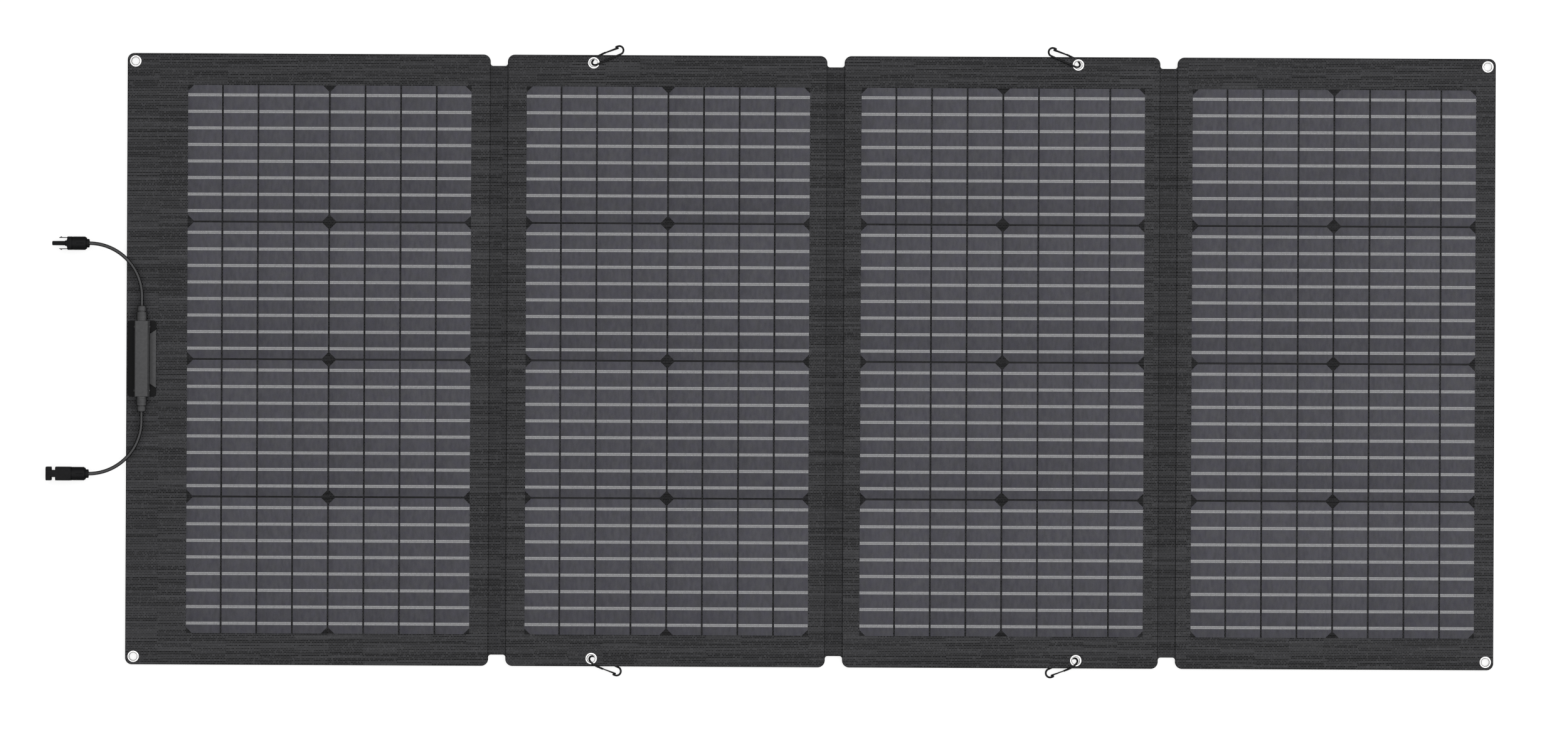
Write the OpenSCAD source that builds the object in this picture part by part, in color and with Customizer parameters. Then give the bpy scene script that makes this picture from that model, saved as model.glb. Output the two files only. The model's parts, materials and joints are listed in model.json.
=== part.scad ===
// Folding solar panel: four flat panels joined by three flexible webs that roll up panel by panel,
// with a junction box, two leads with plug and socket, eight eyelets and four wire clips.
// Millimetres. The origin is the centre of the unfolded sheet's back face, +Z out of the front.

/* [Sheet] */
// Height of the unfolded sheet, along Y
sheet_h = 820; // [816:1:840]
// Thickness of one panel, back face to front face
sheet_t = 2.4; // [2.2:0.1:3]
// Thickness of the printed front sheet
front_t = 0.5; // [0.3:0.1:0.6]
// Thickness of the back sheet's floor
back_t = 0.5; // [0.3:0.1:0.6]
// Radius of the sheet's four outer corners
corner_r = 9; // [6:0.5:10]
// Margin from the left end of the sheet to the first cells
left_margin = 81.3; // [78:0.1:90]
// Margin from the last cells to the right end of the sheet
right_margin = 26.3; // [24:0.1:40]

/* [Folds] */
// Distance between the cells across each fold, from left to right
fold_gaps = [74, 69, 64]; // [60:1:90]
// Clear gap between two panels that lie folded on each other
stack_gap = 3.6; // [3.4:0.1:4.5]
// Width of the flexible web between two panels
web_w = 23; // [22:0.5:26]
// Thickness of the web
web_t = 1; // [0.8:0.1:1.2]
// Depth of the notch at each end of a web
notch_d = 15.1; // [12:0.1:18]
// Radius of the panel corner beside a notch
notch_r = 9.5; // [6:0.5:10]
// Radius of the fillet at the bottom of a notch
notch_fillet = 3.5; // [2:0.5:5]

/* [Cells] */
// Width of one cell strip, along X
strip_w = 45.5; // [44:0.1:46]
// Height of one cell strip, along Y
strip_h = 182; // [180:1:182]
// Gap between neighbouring strips along X
strip_gap = 2.3; // [1.5:0.1:3]
// Gap between neighbouring rows along Y
row_gap = 2.4; // [1.5:0.1:3]
// Thickness of a cell strip with its film
cell_t = 0.25; // [0.2:0.05:0.4]
// Corner chamfer of a full cell, which is four strips wide
cell_chamfer = 8; // [6:0.5:9]
// Contact ribbons on each cell row
ribbons_per_row = 8; // [6:1:10]
// Width of a contact ribbon
ribbon_w = 4.2; // [2:0.1:5]
// Distance between neighbouring ribbons
ribbon_pitch = 22.2; // [18:0.1:22.4]
// Thickness of a contact ribbon
ribbon_t = 0.1; // [0.08:0.01:0.15]

/* [Eyelets and clips] */
// Radius of the hole through an eyelet
eyelet_hole_r = 4.8; // [4.8:0.1:5]
// Radius of an eyelet's flange
eyelet_flange_r = 7.7; // [7:0.1:8.5]
// Thickness of an eyelet's flange
eyelet_flange_t = 0.4; // [0.3:0.05:0.4]
// Distance of a corner eyelet from both edges
corner_inset = 10.7; // [10:0.1:12]
// Distance of an edge eyelet from the top or bottom edge
edge_inset = 10.5; // [10:0.1:10.7]
// Distance of the edge eyelets from the middle fold
edge_eyelet_x = 325; // [200:1:360]
// Angle of a clip from the sheet's edge at rest
clip_angle = 24; // [24:1:40]
// Diameter of the clip's wire
clip_wire = 2.6; // [2.2:0.1:2.6]
// Diameter of the gate's wire
gate_wire = 1.6; // [1.2:0.1:1.6]

/* [Junction box] */
// Distance of the base flange from the sheet's left edge
box_inset = 1.8; // [1.5:0.1:4]
// Width of the base flange
flange_w = 38.3; // [36:0.1:42]
// Length of the box, along Y
box_len = 101.6; // [95:0.1:110]
// Thickness of the base flange
flange_t = 2; // [1.6:0.1:2.4]
// Height of the cover's top above the panel's front face
box_h = 14.2; // [13.6:0.1:14.4]
// Distance of the glands' axis from the sheet's left edge
gland_x = 21.3; // [20.5:0.1:22]
// Height of the glands' axis above the panel's front face
gland_rise = 7.5; // [7.4:0.1:7.6]

/* [Leads] */
// Outer diameter of a cable
cable_d = 4.8; // [4.4:0.1:4.8]
// Straight length of a cable outside its gland
cable_straight = 12.5; // [8:0.5:20]
// Radius of a cable's quarter turn
cable_turn_r = 71; // [50:1:90]
// Downward tilt of the leads
lead_tilt = 1.6; // [0:0.1:1.6]
// Diameter of the cable nuts
nut_d = 18; // [17:0.1:18.5]
// Diameter of the plug's sleeve
sleeve_d = 5.8; // [5.6:0.1:6]

/* [Hidden] */
$fn = 48;

// Working clearances
slip = 0.05;
cut = 1;

// Cell fields, folds and panel ends along X
strips = 8;
rows = 4;
strips_per_cell = 4;
field_w = strips * strip_w + (strips - 1) * strip_gap;
field_h = rows * strip_h + (rows - 1) * row_gap;
gaps_before = [0, fold_gaps[0], fold_gaps[0] + fold_gaps[1], fold_gaps[0] + fold_gaps[1] + fold_gaps[2]];
sheet_w = left_margin + 4 * field_w + gaps_before[3] + right_margin;
left_x = -sheet_w / 2;
top_y = sheet_h / 2;
field_x = [for (i = [0:3]) left_x + left_margin + i * field_w + gaps_before[i]];
fold_x = [for (i = [0:2]) field_x[i + 1] - fold_gaps[i] / 2];
panel_x0 = [left_x, for (x = fold_x) x + web_w / 2];
panel_x1 = [for (x = fold_x) x - web_w / 2, -left_x];

// Layers of a panel along Z
board_top = sheet_t - front_t;
mid_z = sheet_t / 2;
conductor_t = 0.2;
conductor_z = 1.2;
bus_z = conductor_z + conductor_t;
bus_w = 5;
bus_gap = 1;
conductor_w = 12;
conductor_y = [-250, 250];
web_z = conductor_z + conductor_t / 2 - web_t / 2;
board_inset_x = 6;
board_inset_y = 20;

// Eyelets: the holes in each panel, as [x, y]
barrel_r = eyelet_hole_r + 0.7;
corner_x = -left_x - corner_inset;
corner_y = top_y - corner_inset;
edge_y = top_y - edge_inset;
eyelet_points = [
    [[-corner_x, corner_y], [-corner_x, -corner_y]],
    [[fold_x[1] - edge_eyelet_x, edge_y], [fold_x[1] - edge_eyelet_x, -edge_y]],
    [[fold_x[1] + edge_eyelet_x, edge_y], [fold_x[1] + edge_eyelet_x, -edge_y]],
    [[corner_x, corner_y], [corner_x, -corner_y]]
];

// Junction box, in the frame of the base flange's left edge on the panel's front face
base_x = left_x + box_inset;
wall = 1.6;
body_x0 = 9.7;
body_x1 = 29.8;
top_x0 = 11.4;
top_x1 = 27.9;
inner_wall = 1.2;
shoulder_z = 7.6;
base_wall_top = 6.8;
gasket_t = 0.4;
cover_low = flange_t + gasket_t;
ramp_x = 30.2;
ramp_len = 81;
ramp_chamfer = 7;
screw_y = 42.8;
screw_z = 5;
screw_r = 0.9;
cable_inside = 44;

// Glands and cables
gland_at = [left_x + gland_x, 0, sheet_t + gland_rise];
gland_spigot_r = 5;
gland_barrel_r = 7.2;
gland_barrel_len = 11.6;
gland_groove_len = 1.6;
gland_neck_r = 6;
gland_neck_len = 6.9;
gland_out = box_len / 2 + gland_barrel_len + gland_groove_len + gland_neck_len;
cable_bore_r = cable_d / 2 + 0.1;
cable_tail = 8;

// ---------------------------------------------------------------- flat shapes

// The corner that a round of radius r takes off a square corner at the origin
module corner_cut(r) {
    difference() {
        translate([-cut, -cut]) square(r + cut);
        translate([r, r]) circle(r);
    }
}

// Outline of panel p, with its own corner radii at the two ends
module panel_outline(p) {
    left_r = p == 0 ? corner_r : notch_r;
    right_r = p == 3 ? corner_r : notch_r;
    difference() {
        translate([panel_x0[p], -top_y]) square([panel_x1[p] - panel_x0[p], sheet_h]);
        for (side = [-1, 1]) {
            translate([panel_x0[p], side * top_y]) mirror([0, side > 0 ? 1 : 0]) corner_cut(left_r);
            translate([panel_x1[p], side * top_y]) mirror([0, side > 0 ? 1 : 0])
                mirror([1, 0]) corner_cut(right_r);
        }
        for (e = eyelet_points[p]) translate(e) circle(barrel_r + slip);
    }
}

// Outline of the stiffening board of panel p
module board_outline(p) {
    w = panel_x1[p] - panel_x0[p] - 2 * board_inset_x;
    h = sheet_h - 2 * board_inset_y;
    translate([panel_x0[p] + board_inset_x, -h / 2]) square([w, h]);
}

// Outline of web f, with the fillets at the bottom of its notches
module web_outline(f) {
    h = sheet_h - 2 * notch_d;
    translate([fold_x[f] - web_w / 2, -h / 2]) square([web_w, h]);
    for (sx = [-1, 1], sy = [-1, 1])
        translate([fold_x[f] + sx * web_w / 2, sy * h / 2])
            mirror([sx > 0 ? 1 : 0, 0]) mirror([0, sy < 0 ? 1 : 0]) difference() {
                square(notch_fillet);
                translate([notch_fillet, notch_fillet]) circle(notch_fillet);
            }
}

// ---------------------------------------------------------------- panel layers

// The two flat conductors that cross fold f, grown by extra on every side
module conductor_bars(f, extra) {
    x0 = fold_x[f] - fold_gaps[f] / 2 + bus_gap;
    len = fold_gaps[f] - 2 * bus_gap;
    for (y = conductor_y)
        translate([x0 - extra, y - conductor_w / 2 - extra, conductor_z])
            cube([len + 2 * extra, conductor_w + 2 * extra, conductor_t]);
}

// The bars at both ends of panel p's cell field, with height h
module bus_bar_pair(p, h) {
    for (x = [field_x[p] - bus_gap - bus_w, field_x[p] + field_w + bus_gap])
        translate([x, -field_h / 2, bus_z]) cube([bus_w, field_h, h]);
}

// Room for the conductors that enter panel p
module conductor_slots(p) {
    if (p > 0) conductor_bars(p - 1, slip);
    if (p < 3) conductor_bars(p, slip);
}

module front_sheet(p) {
    color("#3a3a3c") translate([0, 0, board_top]) linear_extrude(front_t) panel_outline(p);
}

module board(p) {
    color("#5a5c58") difference() {
        translate([0, 0, back_t]) linear_extrude(board_top - back_t) board_outline(p);
        conductor_slots(p);
        bus_bar_pair(p, board_top);
    }
}

module back_sheet(p) {
    color("#242426") difference() {
        linear_extrude(board_top) panel_outline(p);
        translate([0, 0, back_t]) linear_extrude(sheet_t) board_outline(p);
        conductor_slots(p);
        for (e = eyelet_points[p]) translate([e[0], e[1], -cut])
            cylinder(h = cut + eyelet_flange_t + slip, r = eyelet_flange_r + slip);
    }
}

module bus_bars(p) {
    color("silver") bus_bar_pair(p, board_top - bus_z);
}

// One strip; the first and last strip of a full cell have its two chamfered corners
module cell_strip(first, last) {
    c0 = first ? cell_chamfer : 0;
    c1 = last ? cell_chamfer : 0;
    h = strip_h / 2;
    half = [[0, h - c0], [c0, h], [strip_w - c1, h], [strip_w, h - c1]];
    square_half = [[0, h], [strip_w, h]];
    top = first ? [half[0], half[1], [strip_w, h]] : last ? [[0, h], half[2], half[3]] : square_half;
    bottom = [for (i = [len(top) - 1:-1:0]) [top[i][0], -top[i][1]]];
    linear_extrude(cell_t) polygon(concat(top, bottom));
}

module cells(p) {
    color("#4b4a50")
        for (row = [0:rows - 1], s = [0:strips - 1])
            translate([
                field_x[p] + s * (strip_w + strip_gap),
                -field_h / 2 + strip_h / 2 + row * (strip_h + row_gap),
                sheet_t
            ])
                cell_strip(s % strips_per_cell == 0, s % strips_per_cell == strips_per_cell - 1);
}

module ribbons(p) {
    first_y = -(ribbons_per_row - 1) * ribbon_pitch / 2;
    color("#b4b4b8")
        for (row = [0:rows - 1], i = [0:ribbons_per_row - 1])
            translate([
                field_x[p],
                -field_h / 2 + strip_h / 2 + row * (strip_h + row_gap) + first_y + i * ribbon_pitch
                    - ribbon_w / 2,
                sheet_t + cell_t
            ])
                cube([field_w, ribbon_w, ribbon_t]);
}

// An eyelet: a crowned flange on the front face, a barrel, and a flange pressed flush into the back
module eyelet() {
    f = eyelet_flange_t;
    rotate_extrude()
        polygon([
            [eyelet_hole_r, 0], [eyelet_flange_r, 0], [eyelet_flange_r, f], [barrel_r, f],
            [barrel_r, sheet_t], [eyelet_flange_r, sheet_t], [eyelet_flange_r - f, sheet_t + f],
            [eyelet_hole_r, sheet_t + f]
        ]);
}

module eyelets(p) {
    color("#e6e6e8") for (e = eyelet_points[p]) translate(e) eyelet();
}

module fold_web(f) {
    color("#303032") difference() {
        translate([0, 0, web_z]) linear_extrude(web_t) web_outline(f);
        conductor_bars(f, slip);
    }
}

module fold_conductor(f) {
    color("#b87333") conductor_bars(f, 0);
}

// ---------------------------------------------------------------- wire clips

// Clip frame: u away from the eyelet, v away from the panel, w up from the panel's middle plane
leg_w = sheet_t / 2 + eyelet_flange_t + clip_wire / 2 + 0.1;
inner_v = -4.05;
outer_v = 6.3;
nose_v = 7.3;
bar_v = 5.05;
strand_spread = 0.5;
pivot_u = 18;
bend_u = 38.2;
hook_sides = 12;
hook_steps = 4;
bend_r = (nose_v - inner_v) / 2;
strand_w = clip_wire / 2 + gate_wire / 2 + 0.15;

// Middle line of the hook: gate end, rear leg, through the eyelet, front leg, far bend, nose
hook_line = concat(
    [
        [pivot_u + 1.6, outer_v, 0], [pivot_u - 0.6, outer_v, -0.1], [15.6, outer_v, -0.55 * leg_w],
        [12.4, outer_v, -leg_w], [7, 6, -leg_w], [3.4, 5, -leg_w], [0.6, 3.7, -leg_w],
        [-1.5, 2.1, -0.62 * leg_w], [-2.2, 0, 0], [-1.4, -2.3, 0.66 * leg_w], [1, -3.7, leg_w],
        [5.4, inner_v, leg_w], [16, inner_v, leg_w], [27, inner_v, leg_w]
    ],
    [for (a = [-90:30:90]) [
        bend_u + bend_r * cos(a), inner_v + bend_r + bend_r * sin(a), leg_w * (90 - a) / 180
    ]],
    [[36, nose_v, 0]]
);

// Point number i of a smooth line through the points p, with n steps between two points
function on_line(p, i, n) =
    let (
        last = len(p) - 1, k = min(floor(i / n), last - 1), t = i / n - k,
        a = p[max(k - 1, 0)], b = p[k], c = p[k + 1], d = p[min(k + 2, last)]
    )
    b + 0.5 * t * (c - a + t * (2 * a - 5 * b + 4 * c - d + t * (3 * (b - c) + d - a)));

function unit(v) = v / norm(v);

// A round wire of radius r along a line that is never parallel to Z
module wire(line, r, sides, n) {
    rings = (len(line) - 1) * n;
    centres = [for (i = [0:rings]) on_line(line, i, n)];
    points = [
        for (i = [0:rings])
            let (
                along = unit(centres[min(i + 1, rings)] - centres[max(i - 1, 0)]),
                flat = unit(cross(along, [0, 0, 1])), up = cross(flat, along)
            )
            for (j = [0:sides - 1])
                centres[i] + r * (cos(360 * j / sides) * flat + sin(360 * j / sides) * up)
    ];
    faces = concat(
        [[for (j = [sides - 1:-1:0]) j]],
        [for (i = [0:rings - 1], j = [0:sides - 1])
            [
                i * sides + j, i * sides + (j + 1) % sides,
                (i + 1) * sides + (j + 1) % sides, (i + 1) * sides + j
            ]],
        [[for (j = [0:sides - 1]) rings * sides + j]]
    );
    polyhedron(points, faces, convexity = 4);
}

// Puts a clip at its eyelet: 0 and 1 on panel 2, 2 and 3 on panel 3, the even ones at the top
module at_clip(c) {
    at = eyelet_points[c < 2 ? 1 : 2][c % 2];
    translate([at[0], at[1], mid_z])
        rotate([c % 2 == 0 ? 0 : 180, 0, 0])
            mirror([c < 2 ? 0 : 1, 0, 0])
                rotate(clip_angle) children();
}

module clip_hook(c) {
    color("#222224") at_clip(c) difference() {
        wire(hook_line, clip_wire / 2, hook_sides, hook_steps);
        translate([pivot_u, outer_v, -clip_wire]) cylinder(h = 2 * clip_wire, r = gate_wire / 2 + slip);
    }
}

// The gate: two strands that part a little, with a pivot through the hook and a bar behind the nose
module clip_gate(c) {
    r = gate_wire / 2;
    knuckle = r + slip;
    bar_u = bend_u - 0.2;
    reach = norm([bar_u - pivot_u, outer_v - bar_v]);
    spread = atan(strand_spread / reach);
    color("#2c2c2e") at_clip(c) translate([pivot_u, outer_v, 0])
        rotate(-asin((outer_v - bar_v) / reach)) {
            translate([0, 0, -strand_w]) cylinder(h = 2 * strand_w, r = r);
            for (side = [-1, 1]) {
                translate([0, 0, side * strand_w]) {
                    sphere(knuckle);
                    rotate(side * spread) rotate([0, 90, 0]) cylinder(h = reach / cos(spread), r = r);
                }
                translate([reach, side * strand_spread, side * strand_w]) sphere(knuckle);
            }
            translate([reach, 0, 0]) rotate([-atan(strand_spread / strand_w), 0, 0])
                cylinder(h = 2 * norm([strand_spread, strand_w]), r = r, center = true);
        }
}

// ---------------------------------------------------------------- junction box

// Section of the cover across X, shrunk by s at its sides and top
module cover_section(s, low) {
    polygon([
        [body_x0 + s, low], [body_x0 + s, shoulder_z], [top_x0 + s, box_h - s],
        [top_x1 - s, box_h - s], [body_x1 - s, shoulder_z], [body_x1 - s, low]
    ]);
}

// Extrudes an X-Z section along Y, centred, over length len
module along_y(len) {
    rotate([90, 0, 0]) linear_extrude(len, center = true) children();
}

// Places a shape in the box's frame
module at_box() {
    translate([base_x, 0, sheet_t]) children();
}

// The four fasteners' positions on the box's sides, facing inwards
module at_screws() {
    for (y = [-screw_y, screw_y]) {
        translate([body_x0, y, screw_z]) rotate([0, 90, 0]) children();
        translate([body_x1, y, screw_z]) rotate([0, -90, 0]) children();
    }
}

// Rectangular frame, from distance a to distance b inside the box's outer sides
module inner_frame(a, b, z0, z1) {
    half = box_len / 2;
    translate([body_x0 + a, -half + a, z0]) difference() {
        cube([body_x1 - body_x0 - 2 * a, box_len - 2 * a, z1 - z0]);
        translate([b - a, b - a, -cut])
            cube([body_x1 - body_x0 - 2 * b, box_len - 2 * b, z1 - z0 + 2 * cut]);
    }
}

module jbox_base() {
    r = 4;
    a = wall + slip;
    color("#161617") at_box() difference() {
        union() {
            linear_extrude(flange_t) difference() {
                translate([0, -box_len / 2]) square([flange_w, box_len]);
                for (side = [-1, 1]) translate([0, side * box_len / 2]) mirror([0, side > 0 ? 1 : 0]) {
                    corner_cut(r);
                    translate([flange_w, 0]) mirror([1, 0]) corner_cut(r);
                }
            }
            inner_frame(a, a + inner_wall, flange_t, base_wall_top);
            ramp();
            for (x = [15, 24.5], y = [-24, 24])
                translate([x - 2, y - 3, flange_t]) cube([4, 6, 2]);
        }
        at_screws() cylinder(h = wall + slip + inner_wall + cut, r = screw_r);
        for (side = [-1, 1])
            translate([gland_x - box_inset, side * box_len / 2, gland_rise]) rotate([90, 0, 0])
                cylinder(h = 20, r = gland_spigot_r + 0.3, center = true);
    }
}

// The sloping flank on the base, with chamfered ends
module ramp() {
    half = ramp_len / 2;
    intersection() {
        along_y(ramp_len)
            polygon([
                [ramp_x, flange_t], [ramp_x, 6.4], [flange_w - 0.6, 3.2], [flange_w, 2.8],
                [flange_w, flange_t]
            ]);
        linear_extrude(box_h)
            polygon([
                [ramp_x - cut, -half + ramp_chamfer], [ramp_x, -half + ramp_chamfer],
                [flange_w, -half + 1.5], [flange_w + cut, -half + 1.5],
                [flange_w + cut, half - 1.5], [flange_w, half - 1.5],
                [ramp_x, half - ramp_chamfer], [ramp_x - cut, half - ramp_chamfer]
            ]);
    }
}

module jbox_cover() {
    color("#4b4b4c") at_box() difference() {
        along_y(box_len) cover_section(0, cover_low);
        along_y(box_len - 2 * wall) cover_section(wall, cover_low - cut);
        at_screws() translate([0, 0, -cut]) cylinder(h = wall + 2 * cut, r = screw_r + 0.2);
        translate([gland_x - box_inset, 0, gland_rise]) rotate([90, 0, 0])
            cylinder(h = box_len + cut, r = gland_spigot_r + slip, center = true);
    }
}

// The sealing ring between the cover's lower edge and the flange
module jbox_gasket() {
    color("#3a3a3a") at_box() inner_frame(0, wall, flange_t, cover_low);
}

module jbox_screws() {
    color("#8a8a8c") at_box() at_screws() {
        cylinder(h = wall + slip + inner_wall, r = screw_r);
        translate([0, 0, -0.8]) difference() {
            cylinder(h = 0.8, r1 = 1.6, r2 = 2);
            translate([-0.3, -1.2, -cut]) cube([0.6, 2.4, cut + 0.3]);
        }
    }
}

module terminal_bars() {
    color("#c9a86a") at_box() for (x = [15, 24.5])
        translate([x - 2, -30, flange_t + 2]) cube([4, 60, 0.8]);
}

module bypass_diodes() {
    z = flange_t + 2.8;
    color("#1c1c1c") at_box() for (y = [-16, 0, 16]) translate([19.75, y, z]) {
        translate([-2.5, -4, 0]) cube([5, 8, 3]);
        for (x = [-1, 1], lead = [-2, 2])
            translate([min(x * 5, 0), lead - 0.5, 0]) cube([5, 1, 0.4]);
    }
}

// ---------------------------------------------------------------- glands and cables

// Turns a shape that is built for the upper lead into the lower one
module lead_side(lower) {
    mirror([0, lower ? 1 : 0, 0]) children();
}

module gland(lower) {
    color("#3c3c3e") lead_side(lower) translate([gland_at[0], box_len / 2, gland_at[2]])
        rotate([-90, 0, 0]) rotate_extrude()
            polygon([
                [cable_bore_r, -4], [gland_spigot_r, -4], [gland_spigot_r, 0],
                [gland_barrel_r, 0], [gland_barrel_r, gland_barrel_len - 0.5],
                [gland_barrel_r - 0.5, gland_barrel_len], [gland_neck_r - 0.8, gland_barrel_len],
                [gland_neck_r - 0.8, gland_barrel_len + gland_groove_len],
                [gland_neck_r, gland_barrel_len + gland_groove_len],
                [gland_neck_r, gland_out - box_len / 2 - 1],
                [gland_neck_r - 1, gland_out - box_len / 2], [cable_bore_r, gland_out - box_len / 2]
            ]);
}

// The tilted frame of a lead: its Y axis is the gland's axis, its origin the gland's mouth
module at_mouth(lower) {
    lead_side(lower) translate([gland_at[0], gland_out, gland_at[2]]) rotate([0, -lead_tilt, 0]) children();
}

module cable(lower) {
    color("#4a4a4c") at_mouth(lower) {
        inside = gland_out - cable_inside;
        translate([0, -inside, 0]) rotate([-90, 0, 0]) cylinder(h = inside + cable_straight, d = cable_d);
        translate([-cable_turn_r, cable_straight, 0]) {
            rotate_extrude(angle = 90) translate([cable_turn_r, 0]) circle(d = cable_d);
            translate([0, cable_turn_r, 0]) rotate([0, -90, 0]) cylinder(h = cable_tail, d = cable_d);
        }
    }
}

// A connector's own frame: Z runs along its axis from the cable's end to its nose
module at_connector(lower) {
    at_mouth(lower) translate([-cable_turn_r, cable_straight + cable_turn_r, 0])
        rotate([0, -90, 0]) children();
}

// ---------------------------------------------------------------- connectors

// A nut with a collar for the cable and long grip slots, screwed on the thread of a housing
module slotted_nut(collar_len, collar_d, len) {
    slots = 6;
    slot_w = 0.9;
    slot_depth = 0.75;
    slot_from = 2.4;
    slot_to = 5.2;
    cone_len = 2.2;
    cone_r = nut_d / 2 - 1.7;
    difference() {
        union() {
            cylinder(h = collar_len, d = collar_d);
            translate([0, 0, collar_len]) rotate_extrude() polygon([
                [0, 0], [cone_r, 0], [nut_d / 2, cone_len], [nut_d / 2, len], [0, len]
            ]);
        }
        translate([0, 0, collar_len + slot_from]) for (i = [0:slots - 1]) rotate(i * 360 / slots)
            translate([nut_d / 2 - slot_depth, -slot_w / 2, 0])
                cube([nut_d, slot_w, len - slot_from - slot_to]);
        translate([0, 0, -cut]) cylinder(h = collar_len + len + 2 * cut, r = cable_bore_r);
        translate([0, 0, collar_len + len - thread_len]) cylinder(h = thread_len + cut, r = thread_r + slip);
    }
}

plug_collar = 3.4;
plug_nut_len = 18.6;
plug_body = 6.8;
plug_step = 3.8;
sleeve_len = 17.1;
thread_r = 6.4;
thread_len = 9;
socket_collar = 3.7;
socket_nut_len = 17.9;
socket_body = 21.9;
socket_neck = 6.9;
socket_head = 6;
socket_w = 18.5;
arm_v = 7.6;
arm_len = 11.3;
contact_r = 1.8;
socket_bore_r = sleeve_d / 2 + 0.2;
plug_z = plug_collar + plug_nut_len;
socket_z = socket_collar + socket_nut_len;

module plug_nut() {
    color("#2a2a2c") at_connector(false)
        slotted_nut(plug_collar, 11.6, plug_nut_len);
}

module plug_housing() {
    tip = plug_z + plug_body + plug_step + sleeve_len;
    color("#2e2e30") at_connector(false) difference() {
        union() {
            translate([0, 0, plug_z - thread_len]) cylinder(h = thread_len, r = thread_r);
            translate([0, 0, plug_z]) intersection() {
                cylinder(h = plug_body, d = nut_d);
                translate([-nut_d / 2, -nut_d / 2, 0]) cube([nut_d, nut_d, plug_body]);
            }
            translate([0, 0, plug_z + plug_body]) cylinder(h = plug_step, d = 7.5);
            translate([0, 0, tip - sleeve_len]) cylinder(h = sleeve_len, d = sleeve_d);
            for (s = [-1, 1]) mirror([0, s > 0 ? 0 : 1, 0]) latch_arm();
        }
        translate([0, 0, plug_z - thread_len - cut]) cylinder(h = tip, r = contact_r + slip);
    }
}

// One latch arm, with a barb at its tip
module latch_arm() {
    translate([-3, 0, plug_z + plug_body - 1]) rotate([0, 90, 0]) rotate([0, 0, 180])
        linear_extrude(6)
            polygon([
                [0, -arm_v + 0.6], [arm_len + 1, -arm_v + 0.6], [arm_len + 1, -arm_v - 0.3],
                [arm_len - 2.6, -arm_v - 1.3], [arm_len - 2.6, -arm_v - 0.6], [0, -arm_v - 0.6]
            ]);
}

module plug_contact() {
    color("silver") at_connector(false) translate([0, 0, plug_z - thread_len])
        cylinder(h = thread_len + plug_body + plug_step + sleeve_len - 1.5, r = contact_r);
}

module plug_seal() {
    color("#151515") at_connector(false) translate([0, 0, plug_z + plug_body + 0.9])
        rotate_extrude() translate([7.5 / 2 + 0.75, 0]) circle(r = 0.7);
}

module socket_nut() {
    color("#2a2a2c") at_connector(true)
        slotted_nut(socket_collar, 11.6, socket_nut_len);
}

module socket_housing() {
    total = socket_body + socket_neck + socket_head;
    corner = 5;
    color("#2e2e30") at_connector(true) translate([0, 0, socket_z]) difference() {
        union() {
            translate([0, 0, -thread_len]) cylinder(h = thread_len, r = thread_r);
            linear_extrude(total) intersection() {
                square(socket_w, center = true);
                circle(d = socket_w + corner);
            }
        }
        // side notches for the plug's latch arms
        for (s = [-1, 1]) translate([-socket_w, s * socket_w / 2 - 4.4, socket_body])
            cube([2 * socket_w, 8.8, socket_neck]);
        translate([0, 0, total - sleeve_len - 1]) cylinder(h = sleeve_len + 1 + cut, r = socket_bore_r);
        translate([0, 0, -thread_len - cut]) cylinder(h = total, r = contact_r + slip);
    }
}

module socket_contact() {
    color("silver") at_connector(true) translate([0, 0, socket_z - thread_len]) difference() {
        cylinder(h = thread_len + socket_body - 7, r = contact_r);
        translate([0, 0, thread_len]) cylinder(h = socket_body, r = contact_r - 0.6);
    }
}

// ---------------------------------------------------------------- nodes

front_sheet(0);  // panel_1_front_sheet
front_sheet(1);  // panel_2_front_sheet
front_sheet(2);  // panel_3_front_sheet
front_sheet(3);  // panel_4_front_sheet
cells(0);  // panel_1_cells
cells(1);  // panel_2_cells
cells(2);  // panel_3_cells
cells(3);  // panel_4_cells
ribbons(0);  // panel_1_ribbons
ribbons(1);  // panel_2_ribbons
ribbons(2);  // panel_3_ribbons
ribbons(3);  // panel_4_ribbons
bus_bars(0);  // panel_1_bus_bars
bus_bars(1);  // panel_2_bus_bars
bus_bars(2);  // panel_3_bus_bars
bus_bars(3);  // panel_4_bus_bars
board(0);  // panel_1_board
board(1);  // panel_2_board
board(2);  // panel_3_board
board(3);  // panel_4_board
back_sheet(0);  // panel_1_back_sheet
back_sheet(1);  // panel_2_back_sheet
back_sheet(2);  // panel_3_back_sheet
back_sheet(3);  // panel_4_back_sheet
eyelets(0);  // panel_1_eyelets
eyelets(1);  // panel_2_eyelets
eyelets(2);  // panel_3_eyelets
eyelets(3);  // panel_4_eyelets
fold_web(0);  // fold_web_1
fold_web(1);  // fold_web_2
fold_web(2);  // fold_web_3
fold_conductor(0);  // fold_conductor_1
fold_conductor(1);  // fold_conductor_2
fold_conductor(2);  // fold_conductor_3
clip_hook(0);  // clip_1_hook
clip_gate(0);  // clip_1_gate
clip_hook(1);  // clip_2_hook
clip_gate(1);  // clip_2_gate
clip_hook(2);  // clip_3_hook
clip_gate(2);  // clip_3_gate
clip_hook(3);  // clip_4_hook
clip_gate(3);  // clip_4_gate
jbox_base();
jbox_cover();
jbox_gasket();
jbox_screws();
terminal_bars();
bypass_diodes();
gland(false);  // gland_upper
gland(true);  // gland_lower
cable(false);  // cable_upper
cable(true);  // cable_lower
plug_housing();
plug_nut();
plug_contact();
plug_seal();
socket_housing();
socket_nut();
socket_contact();
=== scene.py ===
import json
from math import atan2, copysign, cos, exp, hypot, pi, radians, sin, sqrt

import bmesh
import bpy
from mathutils import Matrix, Vector
from mathutils.geometry import tessellate_polygon

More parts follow.
